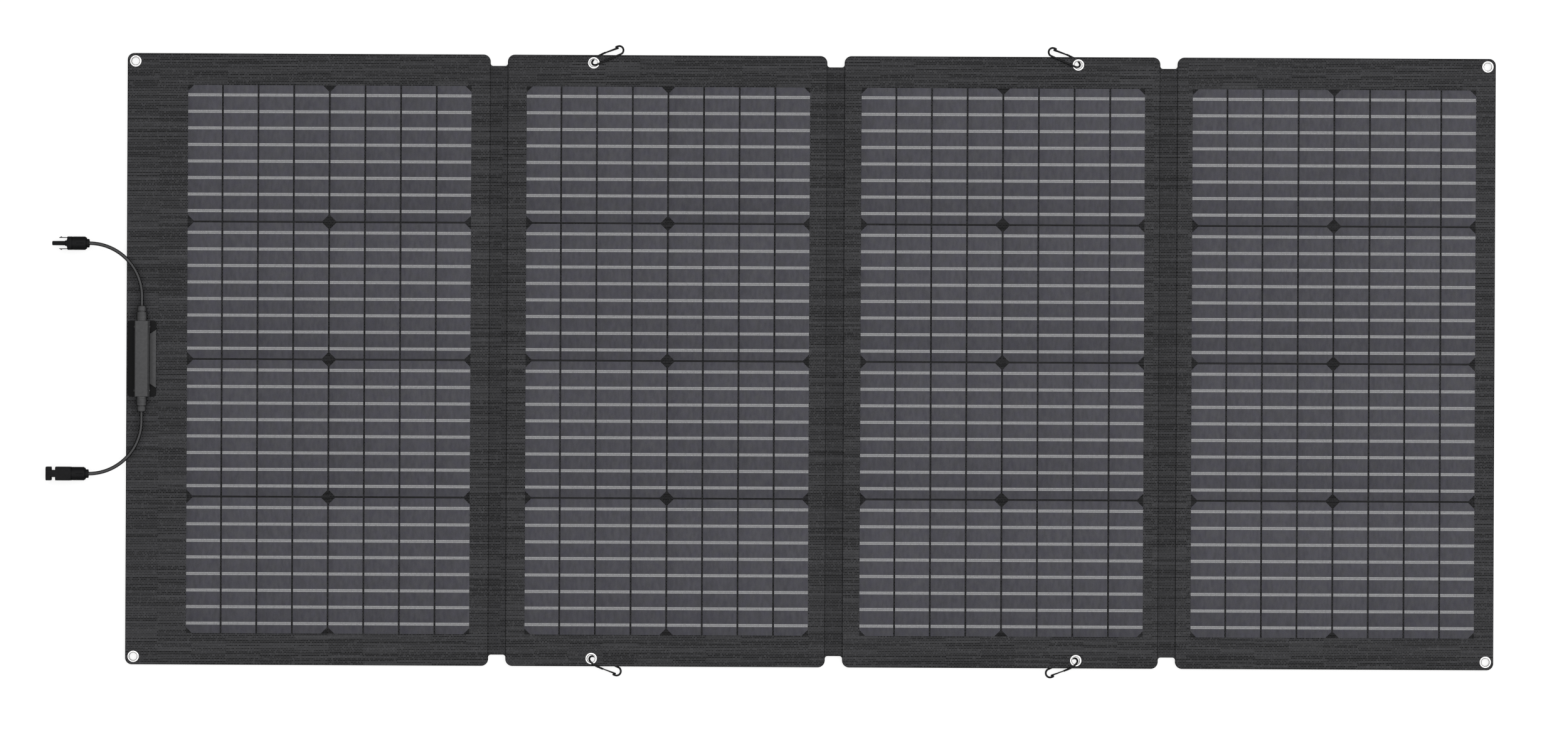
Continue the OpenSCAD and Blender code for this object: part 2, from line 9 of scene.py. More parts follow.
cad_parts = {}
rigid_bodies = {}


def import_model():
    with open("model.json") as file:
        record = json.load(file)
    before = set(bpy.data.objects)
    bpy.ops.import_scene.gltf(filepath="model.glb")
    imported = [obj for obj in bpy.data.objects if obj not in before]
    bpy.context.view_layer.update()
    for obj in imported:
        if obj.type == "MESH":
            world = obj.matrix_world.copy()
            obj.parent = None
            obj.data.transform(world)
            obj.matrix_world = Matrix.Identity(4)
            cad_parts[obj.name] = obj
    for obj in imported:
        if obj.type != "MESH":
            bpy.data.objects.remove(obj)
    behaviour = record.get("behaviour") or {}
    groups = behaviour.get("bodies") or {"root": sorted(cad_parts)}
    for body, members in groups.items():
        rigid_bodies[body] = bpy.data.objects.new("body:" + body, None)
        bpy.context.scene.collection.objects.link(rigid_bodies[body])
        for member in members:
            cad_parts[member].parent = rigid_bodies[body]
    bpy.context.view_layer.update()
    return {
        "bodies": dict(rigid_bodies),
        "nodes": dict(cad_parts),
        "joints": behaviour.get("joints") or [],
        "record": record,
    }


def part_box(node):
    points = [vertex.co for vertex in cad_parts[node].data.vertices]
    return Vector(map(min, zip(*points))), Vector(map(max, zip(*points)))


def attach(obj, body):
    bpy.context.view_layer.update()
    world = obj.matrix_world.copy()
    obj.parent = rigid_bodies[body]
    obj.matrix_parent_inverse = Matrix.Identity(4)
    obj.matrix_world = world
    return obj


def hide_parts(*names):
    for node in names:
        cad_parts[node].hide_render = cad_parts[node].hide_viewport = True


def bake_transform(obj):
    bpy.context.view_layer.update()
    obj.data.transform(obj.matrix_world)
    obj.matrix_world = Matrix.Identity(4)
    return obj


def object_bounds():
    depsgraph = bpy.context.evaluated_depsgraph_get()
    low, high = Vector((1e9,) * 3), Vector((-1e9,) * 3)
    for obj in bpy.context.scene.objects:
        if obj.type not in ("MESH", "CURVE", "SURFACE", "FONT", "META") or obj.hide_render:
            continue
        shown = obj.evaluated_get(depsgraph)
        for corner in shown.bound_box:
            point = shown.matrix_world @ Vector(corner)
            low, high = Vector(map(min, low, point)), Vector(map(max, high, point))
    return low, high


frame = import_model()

joints = {joint["name"]: joint for joint in frame["joints"]}

# ---------------- sizes in millimetres, angles in radians

CORNER_R = 9.0
NOTCH_R = 9.5
NOTCH_FILLET = 3.5
EYELET_HOLE_R = 4.8
EYELET_FLANGE_R = 7.7
BARREL_R = 5.55
WASHER_GAP = 0.03
STRIP_W = 45.5
STRIP_GAP = 2.3
STRIP_H = 182.0
ROW_GAP = 2.4
STRIPS = 8
STRIPS_PER_CELL = 4
ROWS = 4
FIELD_W = STRIPS * (STRIP_W + STRIP_GAP) - STRIP_GAP
FIELD_H = ROWS * (STRIP_H + ROW_GAP) - ROW_GAP
CELL_CHAMFER = 8.0
RIBBONS = 8
RIBBON_W = 4.2
RIBBON_PITCH = 22.2
FIRST_RIBBON = (STRIP_H - (RIBBONS - 1) * RIBBON_PITCH) / 2
CLIP_ANGLE = radians(24)
HOLE_SIDES = 48
HOOK_R = 1.3
GATE_R = 0.8
CABLE_R = 2.4
CABLE_STRAIGHT = 12.5
CABLE_TURN_R = 71.0
CABLE_END = Vector((-CABLE_TURN_R, CABLE_STRAIGHT + CABLE_TURN_R, 0))
LEAD_TILT = radians(1.6)
LEAD_SIDES = {"upper": 1, "lower": -1}


def box(node):
    """Lowest and highest corner of a CAD node, in millimetres."""
    low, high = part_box(node)
    return low * 1000, high * 1000


def joint_at(name):
    """A joint's place, in millimetres."""
    return Vector(joints[name]["pos_m"]) * 1000


# ---------------- material tools


def tone(*levels):
    """Linear colour from screen levels of 0 to 255; one level makes a grey."""
    levels = levels * 3 if len(levels) == 1 else levels
    return [((v / 255 + 0.055) / 1.055) ** 2.4 if v > 10 else v / 3294.6 for v in levels] + [1]


def set_inputs(node, inputs):
    """Sets a node's inputs to plain values, or links them to other nodes' outputs."""
    for key, value in inputs.items():
        if isinstance(value, bpy.types.NodeSocket):
            node.id_data.links.new(value, node.inputs[key])
        else:
            node.inputs[key].default_value = value


def add_node(tree, kind, inputs=None, **settings):
    """A new shader node with its settings and inputs."""
    made = tree.nodes.new("ShaderNode" + kind)
    for key, value in settings.items():
        setattr(made, key, value)
    set_inputs(made, inputs or {})
    return made


def parts_in_mm(tree, metres):
    """A vector in millimetres, and its X and Y."""
    scaled = add_node(tree, "VectorMath", {0: metres, "Scale": 1000.0}, operation="SCALE").outputs[0]
    parts = add_node(tree, "SeparateXYZ", {0: scaled}).outputs
    return scaled, parts[0], parts[1]


class Finish:
    """A material under construction. place is the point at rest in millimetres, whatever the pose."""

    def __init__(self, name, on_cad=False):
        self.material = bpy.data.materials.new(name)
        self.material.use_nodes = True
        self.tree = self.material.node_tree
        self.shader = self.tree.nodes["Principled BSDF"]
        if on_cad:
            metres = self.node("TexCoord").outputs["Object"]
        else:
            metres = self.node("Attribute", attribute_name="rest").outputs["Vector"]
        self.place, self.x, self.y = parts_in_mm(self.tree, metres)

    def node(self, kind, inputs=None, **settings):
        return add_node(self.tree, kind, inputs, **settings)

    def math(self, operation, a, b=0.0, c=0.0):
        return self.node("Math", {0: a, 1: b, 2: c}, operation=operation).outputs[0]

    def fade(self, value, start, end, low=0.0, high=1.0):
        """Goes smoothly from low to high as value goes from start to end."""
        inputs = {"Value": value, "From Min": start, "From Max": end, "To Min": low, "To Max": high}
        return self.node("MapRange", inputs, interpolation_type="SMOOTHSTEP").outputs[0]

    def around(self, value, middle, reach):
        """Turns noise into a value within reach of middle."""
        return self.fade(value, 0.3, 0.7, middle - reach, middle + reach)

    def step(self, value, size):
        """The number of the step of a size that value is in."""
        return self.math("FLOOR", self.math("DIVIDE", value, size))

    def noise(self, scale, detail=3.0, stretch=(1, 1, 1)):
        """Smooth noise around 0.5, with about scale features to a millimetre."""
        at = self.node("VectorMath", {0: self.place, 1: stretch}, operation="MULTIPLY").outputs[0]
        return self.node("TexNoise", {"Vector": at, "Scale": scale, "Detail": detail}).outputs[0]

    def random(self, a, b):
        """A number from 0 to 1 that depends on the whole numbers a and b."""
        at = self.node("CombineXYZ", {0: a, 1: b}).outputs[0]
        return self.node("TexWhiteNoise", {"Vector": at}, noise_dimensions="2D").outputs[0]

    def mix(self, factor, a, b, blend="MIX"):
        """Goes from colour a to colour b as factor goes from 0 to 1."""
        return self.node("Mix", {0: factor, 6: a, 7: b}, data_type="RGBA", blend_type=blend).outputs[2]

    def shade(self, colour, amount):
        """colour with its brightness multiplied by amount."""
        grey = self.node("CombineXYZ", {0: amount, 1: amount, 2: amount}).outputs[0]
        return self.mix(1.0, colour, grey, "MULTIPLY")

    def bump(self, height, depth_mm):
        made = self.node("Bump", {"Height": height, "Distance": depth_mm / 1000, "Strength": 1.0})
        set_inputs(self.shader, {"Normal": made.outputs[0]})

    def edges(self, reach_mm):
        """1 on sharp edges, 0 on flat areas."""
        round_normal = self.node("Bevel", {"Radius": reach_mm / 1000}, samples=4).outputs[0]
        flat_normal = self.node("NewGeometry").outputs["Normal"]
        alike = self.node("VectorMath", {0: round_normal, 1: flat_normal}, operation="DOT_PRODUCT").outputs[1]
        return self.fade(alike, 0.995, 0.85)

    def paint_turned_away_shade(self, colour, least, start=0.2, end=0.7):
        """colour with painted shade: darker where the surface turns away from the eye, in place of light
        falling off there.
        """
        facing = self.node("LayerWeight", {"Blend": 0.5}).outputs["Facing"]
        return self.shade(colour, self.fade(facing, start, end, 1.0, least))

    def done(self, colour, rough, metal=0.0, specular=0.3):
        look = {"Base Color": colour, "Roughness": rough, "Metallic": metal, "Specular IOR Level": specular}
        set_inputs(self.shader, look)
        return self.material


def centred(finish, place, pitch):
    """Distance in millimetres from the middle of a repeating step; place counts steps."""
    return finish.math("MULTIPLY", finish.math("SUBTRACT", finish.math("FRACT", place), 0.5), pitch)


def length_of(finish, a, b):
    """Length of the line from the origin to (a, b)."""
    offset = finish.node("CombineXYZ", {0: a, 1: b}).outputs[0]
    return finish.node("VectorMath", {0: offset}, operation="LENGTH").outputs[1]


def pit_pattern(finish):
    """Staggered rows of pits: 1 in a pit's middle. Some rows and some single pits are faint."""
    pitch_x, pitch_y, radius, radius_spread, softness = 2.0, 2.2, 0.78, 0.08, 0.25
    squash, columns_alike, seed = 0.85, 23.0, 7.0
    row_at = finish.math("DIVIDE", finish.y, pitch_y)
    row = finish.math("FLOOR", row_at)
    odd = finish.math("FLOORED_MODULO", row, 2.0)
    column_at = finish.math("MULTIPLY_ADD", odd, 0.5, finish.math("DIVIDE", finish.x, pitch_x))
    column = finish.math("FLOOR", column_at)
    off_column = centred(finish, column_at, pitch_x)
    off_row = centred(finish, row_at, squash * pitch_y)
    distance = length_of(finish, off_column, off_row)
    size = finish.fade(finish.random(row, seed), 0.0, 1.0, radius - radius_spread, radius + radius_spread)
    mask = finish.fade(finish.math("SUBTRACT", distance, size), softness, -softness)
    in_row = finish.fade(finish.random(row, finish.step(column_at, columns_alike)), 0.0, 0.6, 0.6, 1.0)
    alone = finish.fade(finish.random(column, row), 0.0, 0.3, 0.55, 1.0)
    return finish.math("MULTIPLY", mask, finish.math("MULTIPLY", in_row, alone))


def field_place(finish):
    """Distances in millimetres from the left and bottom edges of the panel's field of cells."""
    metres = finish.node("Attribute", attribute_name="in_field").outputs["Vector"]
    return parts_in_mm(finish.tree, metres)[1:]


def printed_film(name, light, dark, rough, paints_gap_shadow=False):
    """Textured film: pits in staggered rows, with slow changes of tone from row to row. It can also carry
    painted shadow, darker inside the field of cells where the film shows between the cells.
    """
    gap_shadow_strength, row_contrast, row_least = -0.6, 0.8, 0.6
    finish = Finish(name)
    pits = pit_pattern(finish)
    rows = finish.noise(0.05, 3.0, (0.2, 6.0, 1))
    amount = finish.math("MULTIPLY_ADD", rows, row_contrast, row_least)
    if paints_gap_shadow:
        # painted shadow: inside the field of cells, where the film shows only in the gaps between cells, it
        # is darkened as if shaded by the cells' edges
        in_x, in_y = (
            finish.math("COMPARE", at, size / 2, size / 2)
            for at, size in zip(field_place(finish), (FIELD_W, FIELD_H))
        )
        between = finish.math("MULTIPLY", in_x, in_y)
        darker = finish.math("MULTIPLY_ADD", between, gap_shadow_strength, 1.0)
        amount = finish.math("MULTIPLY", amount, darker)
    colour = finish.shade(finish.mix(pits, light, dark), amount)
    finish.bump(finish.math("MULTIPLY_ADD", pits, -1.0, finish.noise(1.2, 2.0)), 0.05)
    return finish.done(colour, finish.around(finish.noise(0.5), rough, 0.06), specular=0.06)


def cell_finish():
    """Silicon under clear film: faint fingers, one tone for each strip, fine mottling."""
    finger_pitch, finger_share, strip_contrast, panel_pitch = 1.5, 0.06, 0.12, 450.0
    finish = Finish("cell")
    x, y = field_place(finish)
    strip, row = finish.step(x, STRIP_W + STRIP_GAP), finish.step(y, STRIP_H + ROW_GAP)
    panel = finish.step(finish.x, panel_pitch)
    per_strip = finish.random(finish.math("MULTIPLY_ADD", panel, STRIPS + 1.0, strip), row)
    finger_at = finish.math("FRACT", finish.math("DIVIDE", x, finger_pitch))
    finger = finish.fade(finish.math("ABSOLUTE", finish.math("SUBTRACT", finger_at, 0.5)), 0.43, 0.5)
    colour = finish.mix(finish.noise(0.12, 5.0), tone(68, 67, 77), tone(74, 74, 75))
    colour = finish.mix(finish.math("MULTIPLY", finger, finger_share), colour, tone(120, 120, 124))
    grain = finish.math("ADD", finish.noise(1.1, 2.0), finish.noise(0.25, 3.0, (1, 0.35, 1)))
    level = finish.math("MULTIPLY_ADD", per_strip, strip_contrast, grain)
    colour = finish.shade(colour, finish.fade(level, 0.55, 1.5, 0.8, 1.22))
    finish.bump(finish.noise(1.2, 2.0), 0.03)
    return finish.done(colour, finish.around(finish.noise(0.4), 0.51, 0.05), specular=0.06)


def ribbon_finish():
    """Tinned ribbon seen through the textured film, with two rows of bright points."""
    point_pitch, point_offset = 1.15, 1.05
    finish = Finish("ribbon")
    field_y = finish.math("ADD", finish.y, FIELD_H / 2)
    in_row = finish.math("FLOORED_MODULO", field_y, STRIP_H + ROW_GAP)
    shifted = finish.math("ADD", in_row, RIBBON_PITCH / 2 - FIRST_RIBBON)
    in_pitch = finish.math("FLOORED_MODULO", shifted, RIBBON_PITCH)
    across = finish.math("SUBTRACT", in_pitch, RIBBON_PITCH / 2)
    to_row = finish.math("SUBTRACT", finish.math("ABSOLUTE", across), point_offset)
    point_at = finish.math("DIVIDE", finish.x, point_pitch)
    point = finish.fade(length_of(finish, centred(finish, point_at, point_pitch), to_row), 0.62, 0.3)
    luck = finish.random(finish.math("FLOOR", point_at), finish.math("SIGN", across))
    point = finish.math("MULTIPLY", point, finish.fade(luck, 0.0, 0.4, 0.4, 1.0))
    colour = finish.mix(point, tone(122, 122, 124), tone(162, 162, 164))
    colour = finish.shade(colour, finish.fade(finish.noise(0.3, 4.0, (1, 3, 1)), 0.3, 0.7, 0.9, 1.08))
    finish.bump(finish.math("ADD", point, finish.noise(2.0, 3.0)), 0.03)
    return finish.done(colour, 0.42, specular=0.1)


def moulded(name, colour, rough, grain, wear, on_cad=False, specular=0.2, painted_light_over=None, least=1):
    """Moulded plastic: fine spark grain, mottling, rubbed edges. Painted light makes it lighter over a span
    of X, and painted shade darkens it where the surface turns away from the eye.
    """
    finish = Finish(name, on_cad)
    body = finish.shade(colour, finish.fade(finish.noise(0.25, 5.0), 0.25, 0.75, 0.88, 1.1))
    # painted light: lighter over a span of X, as where a slope faces the light
    if painted_light_over:
        body = finish.shade(body, finish.fade(finish.x, *painted_light_over, 0.8, 1.7))
    patches = finish.fade(finish.noise(0.8, 4.0), 0.35, 0.65, 0.3, 1.0)
    worn = finish.math("MULTIPLY", finish.edges(0.35), patches)
    lighter = finish.mix(0.25, colour, tone(150, 150, 152))
    # painted shade towards the silhouette; least is the share of brightness left at grazing angles
    body = finish.paint_turned_away_shade(finish.mix(finish.math("MULTIPLY", worn, wear), body, lighter), least)
    finish.bump(finish.noise(4.0, 4.0), grain)
    return finish.done(body, finish.around(finish.noise(1.5, 3.0), rough, 0.07), specular=specular)


def metal(name, colour, rough, brushed=(1, 1, 1), on_cad=False, grain=0.01):
    """Bare metal with fine drawn lines and a trace of tarnish."""
    finish = Finish(name, on_cad)
    lines = finish.noise(3.0, 4.0, brushed)
    tarnish = finish.fade(finish.noise(0.6, 4.0), 0.35, 0.75, 1.0, 0.82)
    finish.bump(lines, grain)
    return finish.done(finish.shade(colour, tarnish), finish.around(lines, rough + 0.01, 0.09), metal=1.0)


def rubber(name, colour, rough=0.45, specular=0.4, on_cad=False, least=1):
    """Soft, dull rubber or cable jacket with faint cloudy patches, and painted shade where the surface turns
    away from the eye.
    """
    finish = Finish(name, on_cad)
    patches = finish.noise(0.9, 4.0)
    body = finish.shade(colour, finish.around(patches, 1.0, 0.15))
    # painted shade: darker towards the silhouette, down to least of the colour
    body = finish.paint_turned_away_shade(body, least, 0.03, 0.3)
    finish.bump(finish.noise(5.0, 3.0), 0.015)
    return finish.done(body, finish.around(patches, rough, 0.06), specular=specular)


def board_finish():
    """Glass fibre board: a fine square weave under resin."""
    threads = 4.2
    finish = Finish("board", on_cad=True)
    warp, weft = (finish.math("SINE", finish.math("MULTIPLY", at, threads)) for at in (finish.x, finish.y))
    weave = finish.math("MULTIPLY", warp, weft)
    colour = finish.mix(finish.fade(weave, -1.0, 1.0), tone(92, 98, 84), tone(120, 126, 108))
    finish.bump(weave, 0.03)
    return finish.done(colour, 0.45)


FINISHES = {
    # the front film carries painted shadow in the gaps between the cells
    "film": printed_film("film", tone(71, 71, 73), tone(3), 0.55, paints_gap_shadow=True),
    "film_rim": printed_film("film_rim", tone(34, 34, 35), tone(4), 0.5),
    "web": printed_film("web", tone(64, 64, 66), tone(4), 0.5),
    "back_film": printed_film("back_film", tone(52, 52, 54), tone(14, 14, 15), 0.5),
    "cell": cell_finish(),
    "ribbon": ribbon_finish(),
    "bus_bar": metal("bus_bar", tone(205, 206, 210), 0.32, (1, 0.1, 1), on_cad=True),
    "board": board_finish(),
    "eyelet": metal("eyelet", tone(252, 251, 250), 0.2, grain=0.002),
    # painted shade: a near-black finish for the eyelet's groove, where the bright metal only looks dark from
    # shade and dark reflections
    "groove": moulded("groove", tone(12, 12, 13), 0.6, 0.01, 0.0, specular=0.05),
    "copper": metal("copper", tone(214, 140, 100), 0.35, (0.1, 1, 1)),
    "clip_wire": moulded("clip_wire", tone(22, 22, 23), 0.36, 0.006, 0.1, specular=0.15),
    "box_base": moulded("box_base", tone(16, 16, 17), 0.55, 0.02, 0.2, specular=0.1),
    # the flank gets painted light: lighter towards +X, where its slope faces the light
    "box_flank": moulded("box_flank", tone(52, 52, 53), 0.5, 0.02, 0.3, painted_light_over=(-886, -878)),
    "box_cover": moulded("box_cover", tone(70, 70, 71), 0.48, 0.02, 0.25),
    "gasket": rubber("gasket", tone(35, 35, 36), on_cad=True),
    "screw": metal("screw", tone(120, 120, 122), 0.4),
    "terminal": metal("terminal", tone(214, 178, 110), 0.35, (1, 0.2, 1), on_cad=True),
    "diode": moulded("diode", tone(24, 24, 25), 0.35, 0.01, 0.1, on_cad=True),
    # gland, cable and connector: painted shade darkens their sides where they turn away from the eye
    "gland": moulded("gland", tone(72, 72, 73), 0.4, 0.01, 0.2, specular=0.15, least=0.1),
    "cable": rubber("cable", tone(74, 74, 75), 0.4, 0.1, least=0.03),
    "connector": moulded("connector", tone(24, 24, 25), 0.45, 0.012, 0.2, specular=0.08, least=0.2),
    "contact": metal("contact", tone(215, 215, 218), 0.28, on_cad=True),
    "seal": rubber("seal", tone(22, 22, 23)),
}

# ---------------- mesh tools


def show(name, data):
    """Puts a new object in the scene."""
    made = bpy.data.objects.new(name, data)
    bpy.context.scene.collection.objects.link(made)
    return made


def solid(name, form, place):
    """An object from a form in millimetres, moved by place, with its faces turned outwards."""
    points, faces = form
    mesh = bpy.data.meshes.new(name)
    mesh.from_pydata([(place @ Vector(p)) / 1000 for p in points], [], faces)
    work = bmesh.new()
    work.from_mesh(mesh)
    bmesh.ops.recalc_face_normals(work, faces=work.faces)
    work.to_mesh(mesh)
    work.free()
    return show(name, mesh)


def smooth(mesh, sharp):
    """Smooth shading, apart from edges sharper than an angle in degrees."""
    mesh.polygons.foreach_set("use_smooth", [True] * len(mesh.polygons))
    mesh.set_sharp_from_angle(angle=radians(sharp))


def add_piece(name, form, slot, stands_for=None, place=Matrix(), sharp=40, finish=None, body=None):
    """A finished piece from a form, in place of a CAD node. With no body it rides nowhere yet."""
    piece = solid(name, form, place)
    smooth(piece.data, sharp)
    dress(piece, slot, finish)
    if stands_for:
        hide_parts(stands_for)
    if body:
        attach(piece, body)
    return piece


def dress(piece, slot, finish=None):
    """Gives a piece its finish, looked up by its slot unless a finish is given, and its rest coordinates."""
    mesh = piece.data
    mesh.materials.clear()
    mesh.materials.append(FINISHES[finish or slot])
    rest = mesh.attributes.get("rest") or mesh.attributes.new("rest", "FLOAT_VECTOR", "POINT")
    flat = [0.0] * (3 * len(mesh.vertices))
    mesh.vertices.foreach_get("co", flat)
    rest.data.foreach_set("vector", flat)


def mark_field(piece, panel):
    """Stores each point's place in its panel's field of cells, for the film and cell finishes."""
    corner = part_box(f"panel_{panel}_cells")[0]
    mesh = piece.data
    flat = [axis for v in mesh.vertices for axis in (v.co - Vector(corner))]
    mesh.attributes.new("in_field", "FLOAT_VECTOR", "POINT").data.foreach_set("vector", flat)


def arc(centre, radius, start, end, steps=10):
    """Points of an arc in the XY plane; angles in degrees."""
    turn = [radians(start + (end - start) * i / steps) for i in range(steps + 1)]
    return [(centre[0] + radius * cos(a), centre[1] + radius * sin(a)) for a in turn]


def rounded_box(low, high, left_r, right_r, inset):
    """Outline of a box with rounded corners, drawn inset inside its own edge."""
    corners = [
        (high.x - right_r, high.y - right_r, right_r, 0), (low.x + left_r, high.y - left_r, left_r, 90),
        (low.x + left_r, low.y + left_r, left_r, 180), (high.x - right_r, low.y + right_r, right_r, 270),
    ]
    return [p for x, y, r, a in corners for p in arc((x, y), r - inset, a, a + 90)]


def oblong(a0, a1, b0, b1):
    """The four corners between two limits each way."""
    return [(a0, b0), (a1, b0), (a1, b1), (a0, b1)]


def band(first, second, count):
    """Faces between two rings of count points, from the indices of their first points."""
    following = [(i + 1) % count for i in range(count)]
    return [(first + i, first + j, second + j, second + i) for i, j in enumerate(following)]


def stacked(rings, closed=False, capped=True):
    """A form through rings of equally many points. A closed one joins its last ring to its first."""
    count = len(rings[0])
    points = [point for ring in rings for point in ring]
    starts = [count * k for k in range(len(rings))]
    pairs = list(zip(starts, starts[1:])) + ([(starts[-1], 0)] if closed else [])
    faces = [face for first, second in pairs for face in band(first, second, count)]
    if capped and not closed:
        faces += [tuple(range(count)), tuple(range(starts[-1], len(points)))]
    return points, faces


def plate(low, high, left_r, right_r, layers, holes=()):
    """A closed plate with rounded corners. layers are (inset, z), top to bottom."""
    rings = [[(x, y, z) for x, y in rounded_box(low, high, left_r, right_r, inset)] for inset, z in layers]
    points, faces = stacked(rings, capped=False)
    count = len(rings[0])
    hole_rings = [arc(at, radius, 0, 360, HOLE_SIDES)[:-1] for at, radius in holes]
    hole_starts = []
    for layer in (0, len(layers) - 1):
        z = layers[layer][1]
        loops = [range(layer * count, (layer + 1) * count)]
        for ring in hole_rings:
            loops.append(range(len(points), len(points) + len(ring)))
            points += [(x, y, z) for x, y in ring]
        corners = [[Vector(points[i]) for i in loop] for loop in loops]
        index = [i for loop in loops for i in loop]
        faces += [tuple(index[i] for i in tri) for tri in tessellate_polygon(corners)]
        hole_starts.append([loop[0] for loop in loops[1:]])
    for top, bottom in zip(*hole_starts):
        faces += band(top, bottom, HOLE_SIDES)
    return points, faces


def loft(rings, segments, closed=False):
    """A form along Z. A ring is (z, half_x, half_y, power); power 2 is round."""
    turn = [2 * pi * i / segments for i in range(segments)]

    def bulge(share, power):
        return copysign(abs(share) ** (2 / power), share)

    return stacked([
        [(bulge(cos(a), power) * half_x, bulge(sin(a), power) * half_y, z) for a in turn]
        for z, half_x, half_y, power in rings
    ], closed)


def turned(profile, segments=64, closed=False):
    """A round form along Z from (radius, z) pairs."""
    return loft([(z, r, r, 2) for r, z in profile], segments, closed)


def tube(path, radius, sides):
    """A round wire with domed ends along a list of vectors."""
    last = len(path) - 1
    along = [(path[min(i + 1, last)] - path[max(i - 1, 0)]).normalized() for i in range(last + 1)]
    side = along[0].orthogonal().normalized()
    frames = []
    for t in along:
        side = (side - t * side.dot(t)).normalized()
        frames.append((side, t.cross(side)))
    dome = [radians(a) for a in (80, 60, 40, 20)]

    def dome_station(end, outward, frame, a):
        return end + outward * radius * sin(a), frame, radius * cos(a)

    stations = [dome_station(path[0], -along[0], frames[0], a) for a in dome]
    stations += [(p, frame, radius) for p, frame in zip(path, frames)]
    stations += [dome_station(path[-1], along[-1], frames[-1], a) for a in reversed(dome)]
    turn = [2 * pi * i / sides for i in range(sides)]
    return stacked([
        [centre + u * r * cos(a) + v * r * sin(a) for a in turn] for centre, (u, v), r in stations
    ])


def smooth_line(points, steps):
    """A smooth line through the points, with steps between each two."""
    points = [Vector(p) for p in points]
    line = []
    for k in range(len(points) - 1):
        a, b = points[max(k - 1, 0)], points[k]
        c, d = points[k + 1], points[min(k + 2, len(points) - 1)]
        for t in (i / steps for i in range(steps)):
            cubic = 2 * a - 5 * b + 4 * c - d + t * (3 * (b - c) + d - a)
            line.append(b + 0.5 * t * (c - a + t * cubic))
    return line + [points[-1]]


def rounded_line(points, radius):
    """A line through the points with its inner corners rounded."""
    steps = 6
    points = [Vector(p) for p in points]
    line = [points[0]]
    for a, b, c in zip(points, points[1:], points[2:]):
        into, out = (b - a).normalized(), (c - b).normalized()
        start, end = b - into * radius, b + out * radius
        for t in (i / steps for i in range(steps + 1)):
            line.append(start * (1 - t) ** 2 + b * 2 * t * (1 - t) + end * t * t)
    return line + [points[-1]]


def prism(section, half_length, bevel, segments):
    """An XZ section stretched along Y, with its edges rounded."""
    ends = [[(x, y, z) for x, z in section] for y in (-half_length, half_length)]
    return rounded(stacked(ends), bevel, segments)


def rounded(form, bevel, segments):
    """A form after its sharp edges are rounded."""
    least_angle = radians(25)
    work = bmesh.new()
    corners = [work.verts.new(p) for p in form[0]]
    for face in form[1]:
        work.faces.new([corners[i] for i in face])
    bmesh.ops.recalc_face_normals(work, faces=work.faces)
    sharp = [e for e in work.edges if e.is_manifold and e.calc_face_angle() > least_angle]
    bmesh.ops.bevel(
        work, geom=sharp, offset=bevel, segments=segments, profile=0.5, affect="EDGES", clamp_overlap=True
    )
    work.verts.index_update()
    points = [v.co.copy() for v in work.verts]
    faces = [tuple(v.index for v in f.verts) for f in work.faces]
    work.free()
    return points, faces


def joined(*forms):
    """Several forms as one."""
    points, faces = [], []
    for more_points, more_faces in forms:
        start = len(points)
        points += list(more_points)
        faces += [tuple(start + i for i in face) for face in more_faces]
    return points, faces


def moved(form, place):
    """A form moved by a matrix."""
    return [place @ Vector(p) for p in form[0]], form[1]


def cut_out(piece, cutter_form, place, slot):
    """Cuts a form out of a piece for good, and dresses the piece again."""
    cutter = solid("cutter", cutter_form, place)
    modifier = piece.modifiers.new("cut", "BOOLEAN")
    modifier.operation, modifier.solver, modifier.object = "DIFFERENCE", "EXACT", cutter
    bpy.context.view_layer.update()
    shape = bpy.data.meshes.new_from_object(piece.evaluated_get(bpy.context.evaluated_depsgraph_get()))
    piece.modifiers.clear()
    piece.data = shape
    bpy.data.objects.remove(cutter)
    smooth(shape, 30)
    dress(piece, slot)


# ---------------- panels


def eyelet_centres(panel):
    """Middle points of a panel's two eyelets, which lie one above the other."""
    low, high = box(f"panel_{panel}_eyelets")
    x = (low.x + high.x) / 2
    return [(x, low.y + EYELET_FLANGE_R), (x, high.y - EYELET_FLANGE_R)]


def strip_corners(panel):
    """Strip number and lower left corner of each cell strip of a panel, in millimetres."""
    low, _ = box(f"panel_{panel}_cells")
    return [
        (strip, low.x + strip * (STRIP_W + STRIP_GAP), low.y + row * (STRIP_H + ROW_GAP))
        for strip in range(STRIPS) for row in range(ROWS)
    ]


def add_panel_piece(name, panel, node, form, slot, sharp=40):
    """A piece of a panel, in place of the panel's CAD node."""
    body = f"panel_{panel}"
    return add_piece(f"{name}_{panel}", form, slot, f"{body}_{node}", sharp=sharp, body=body)


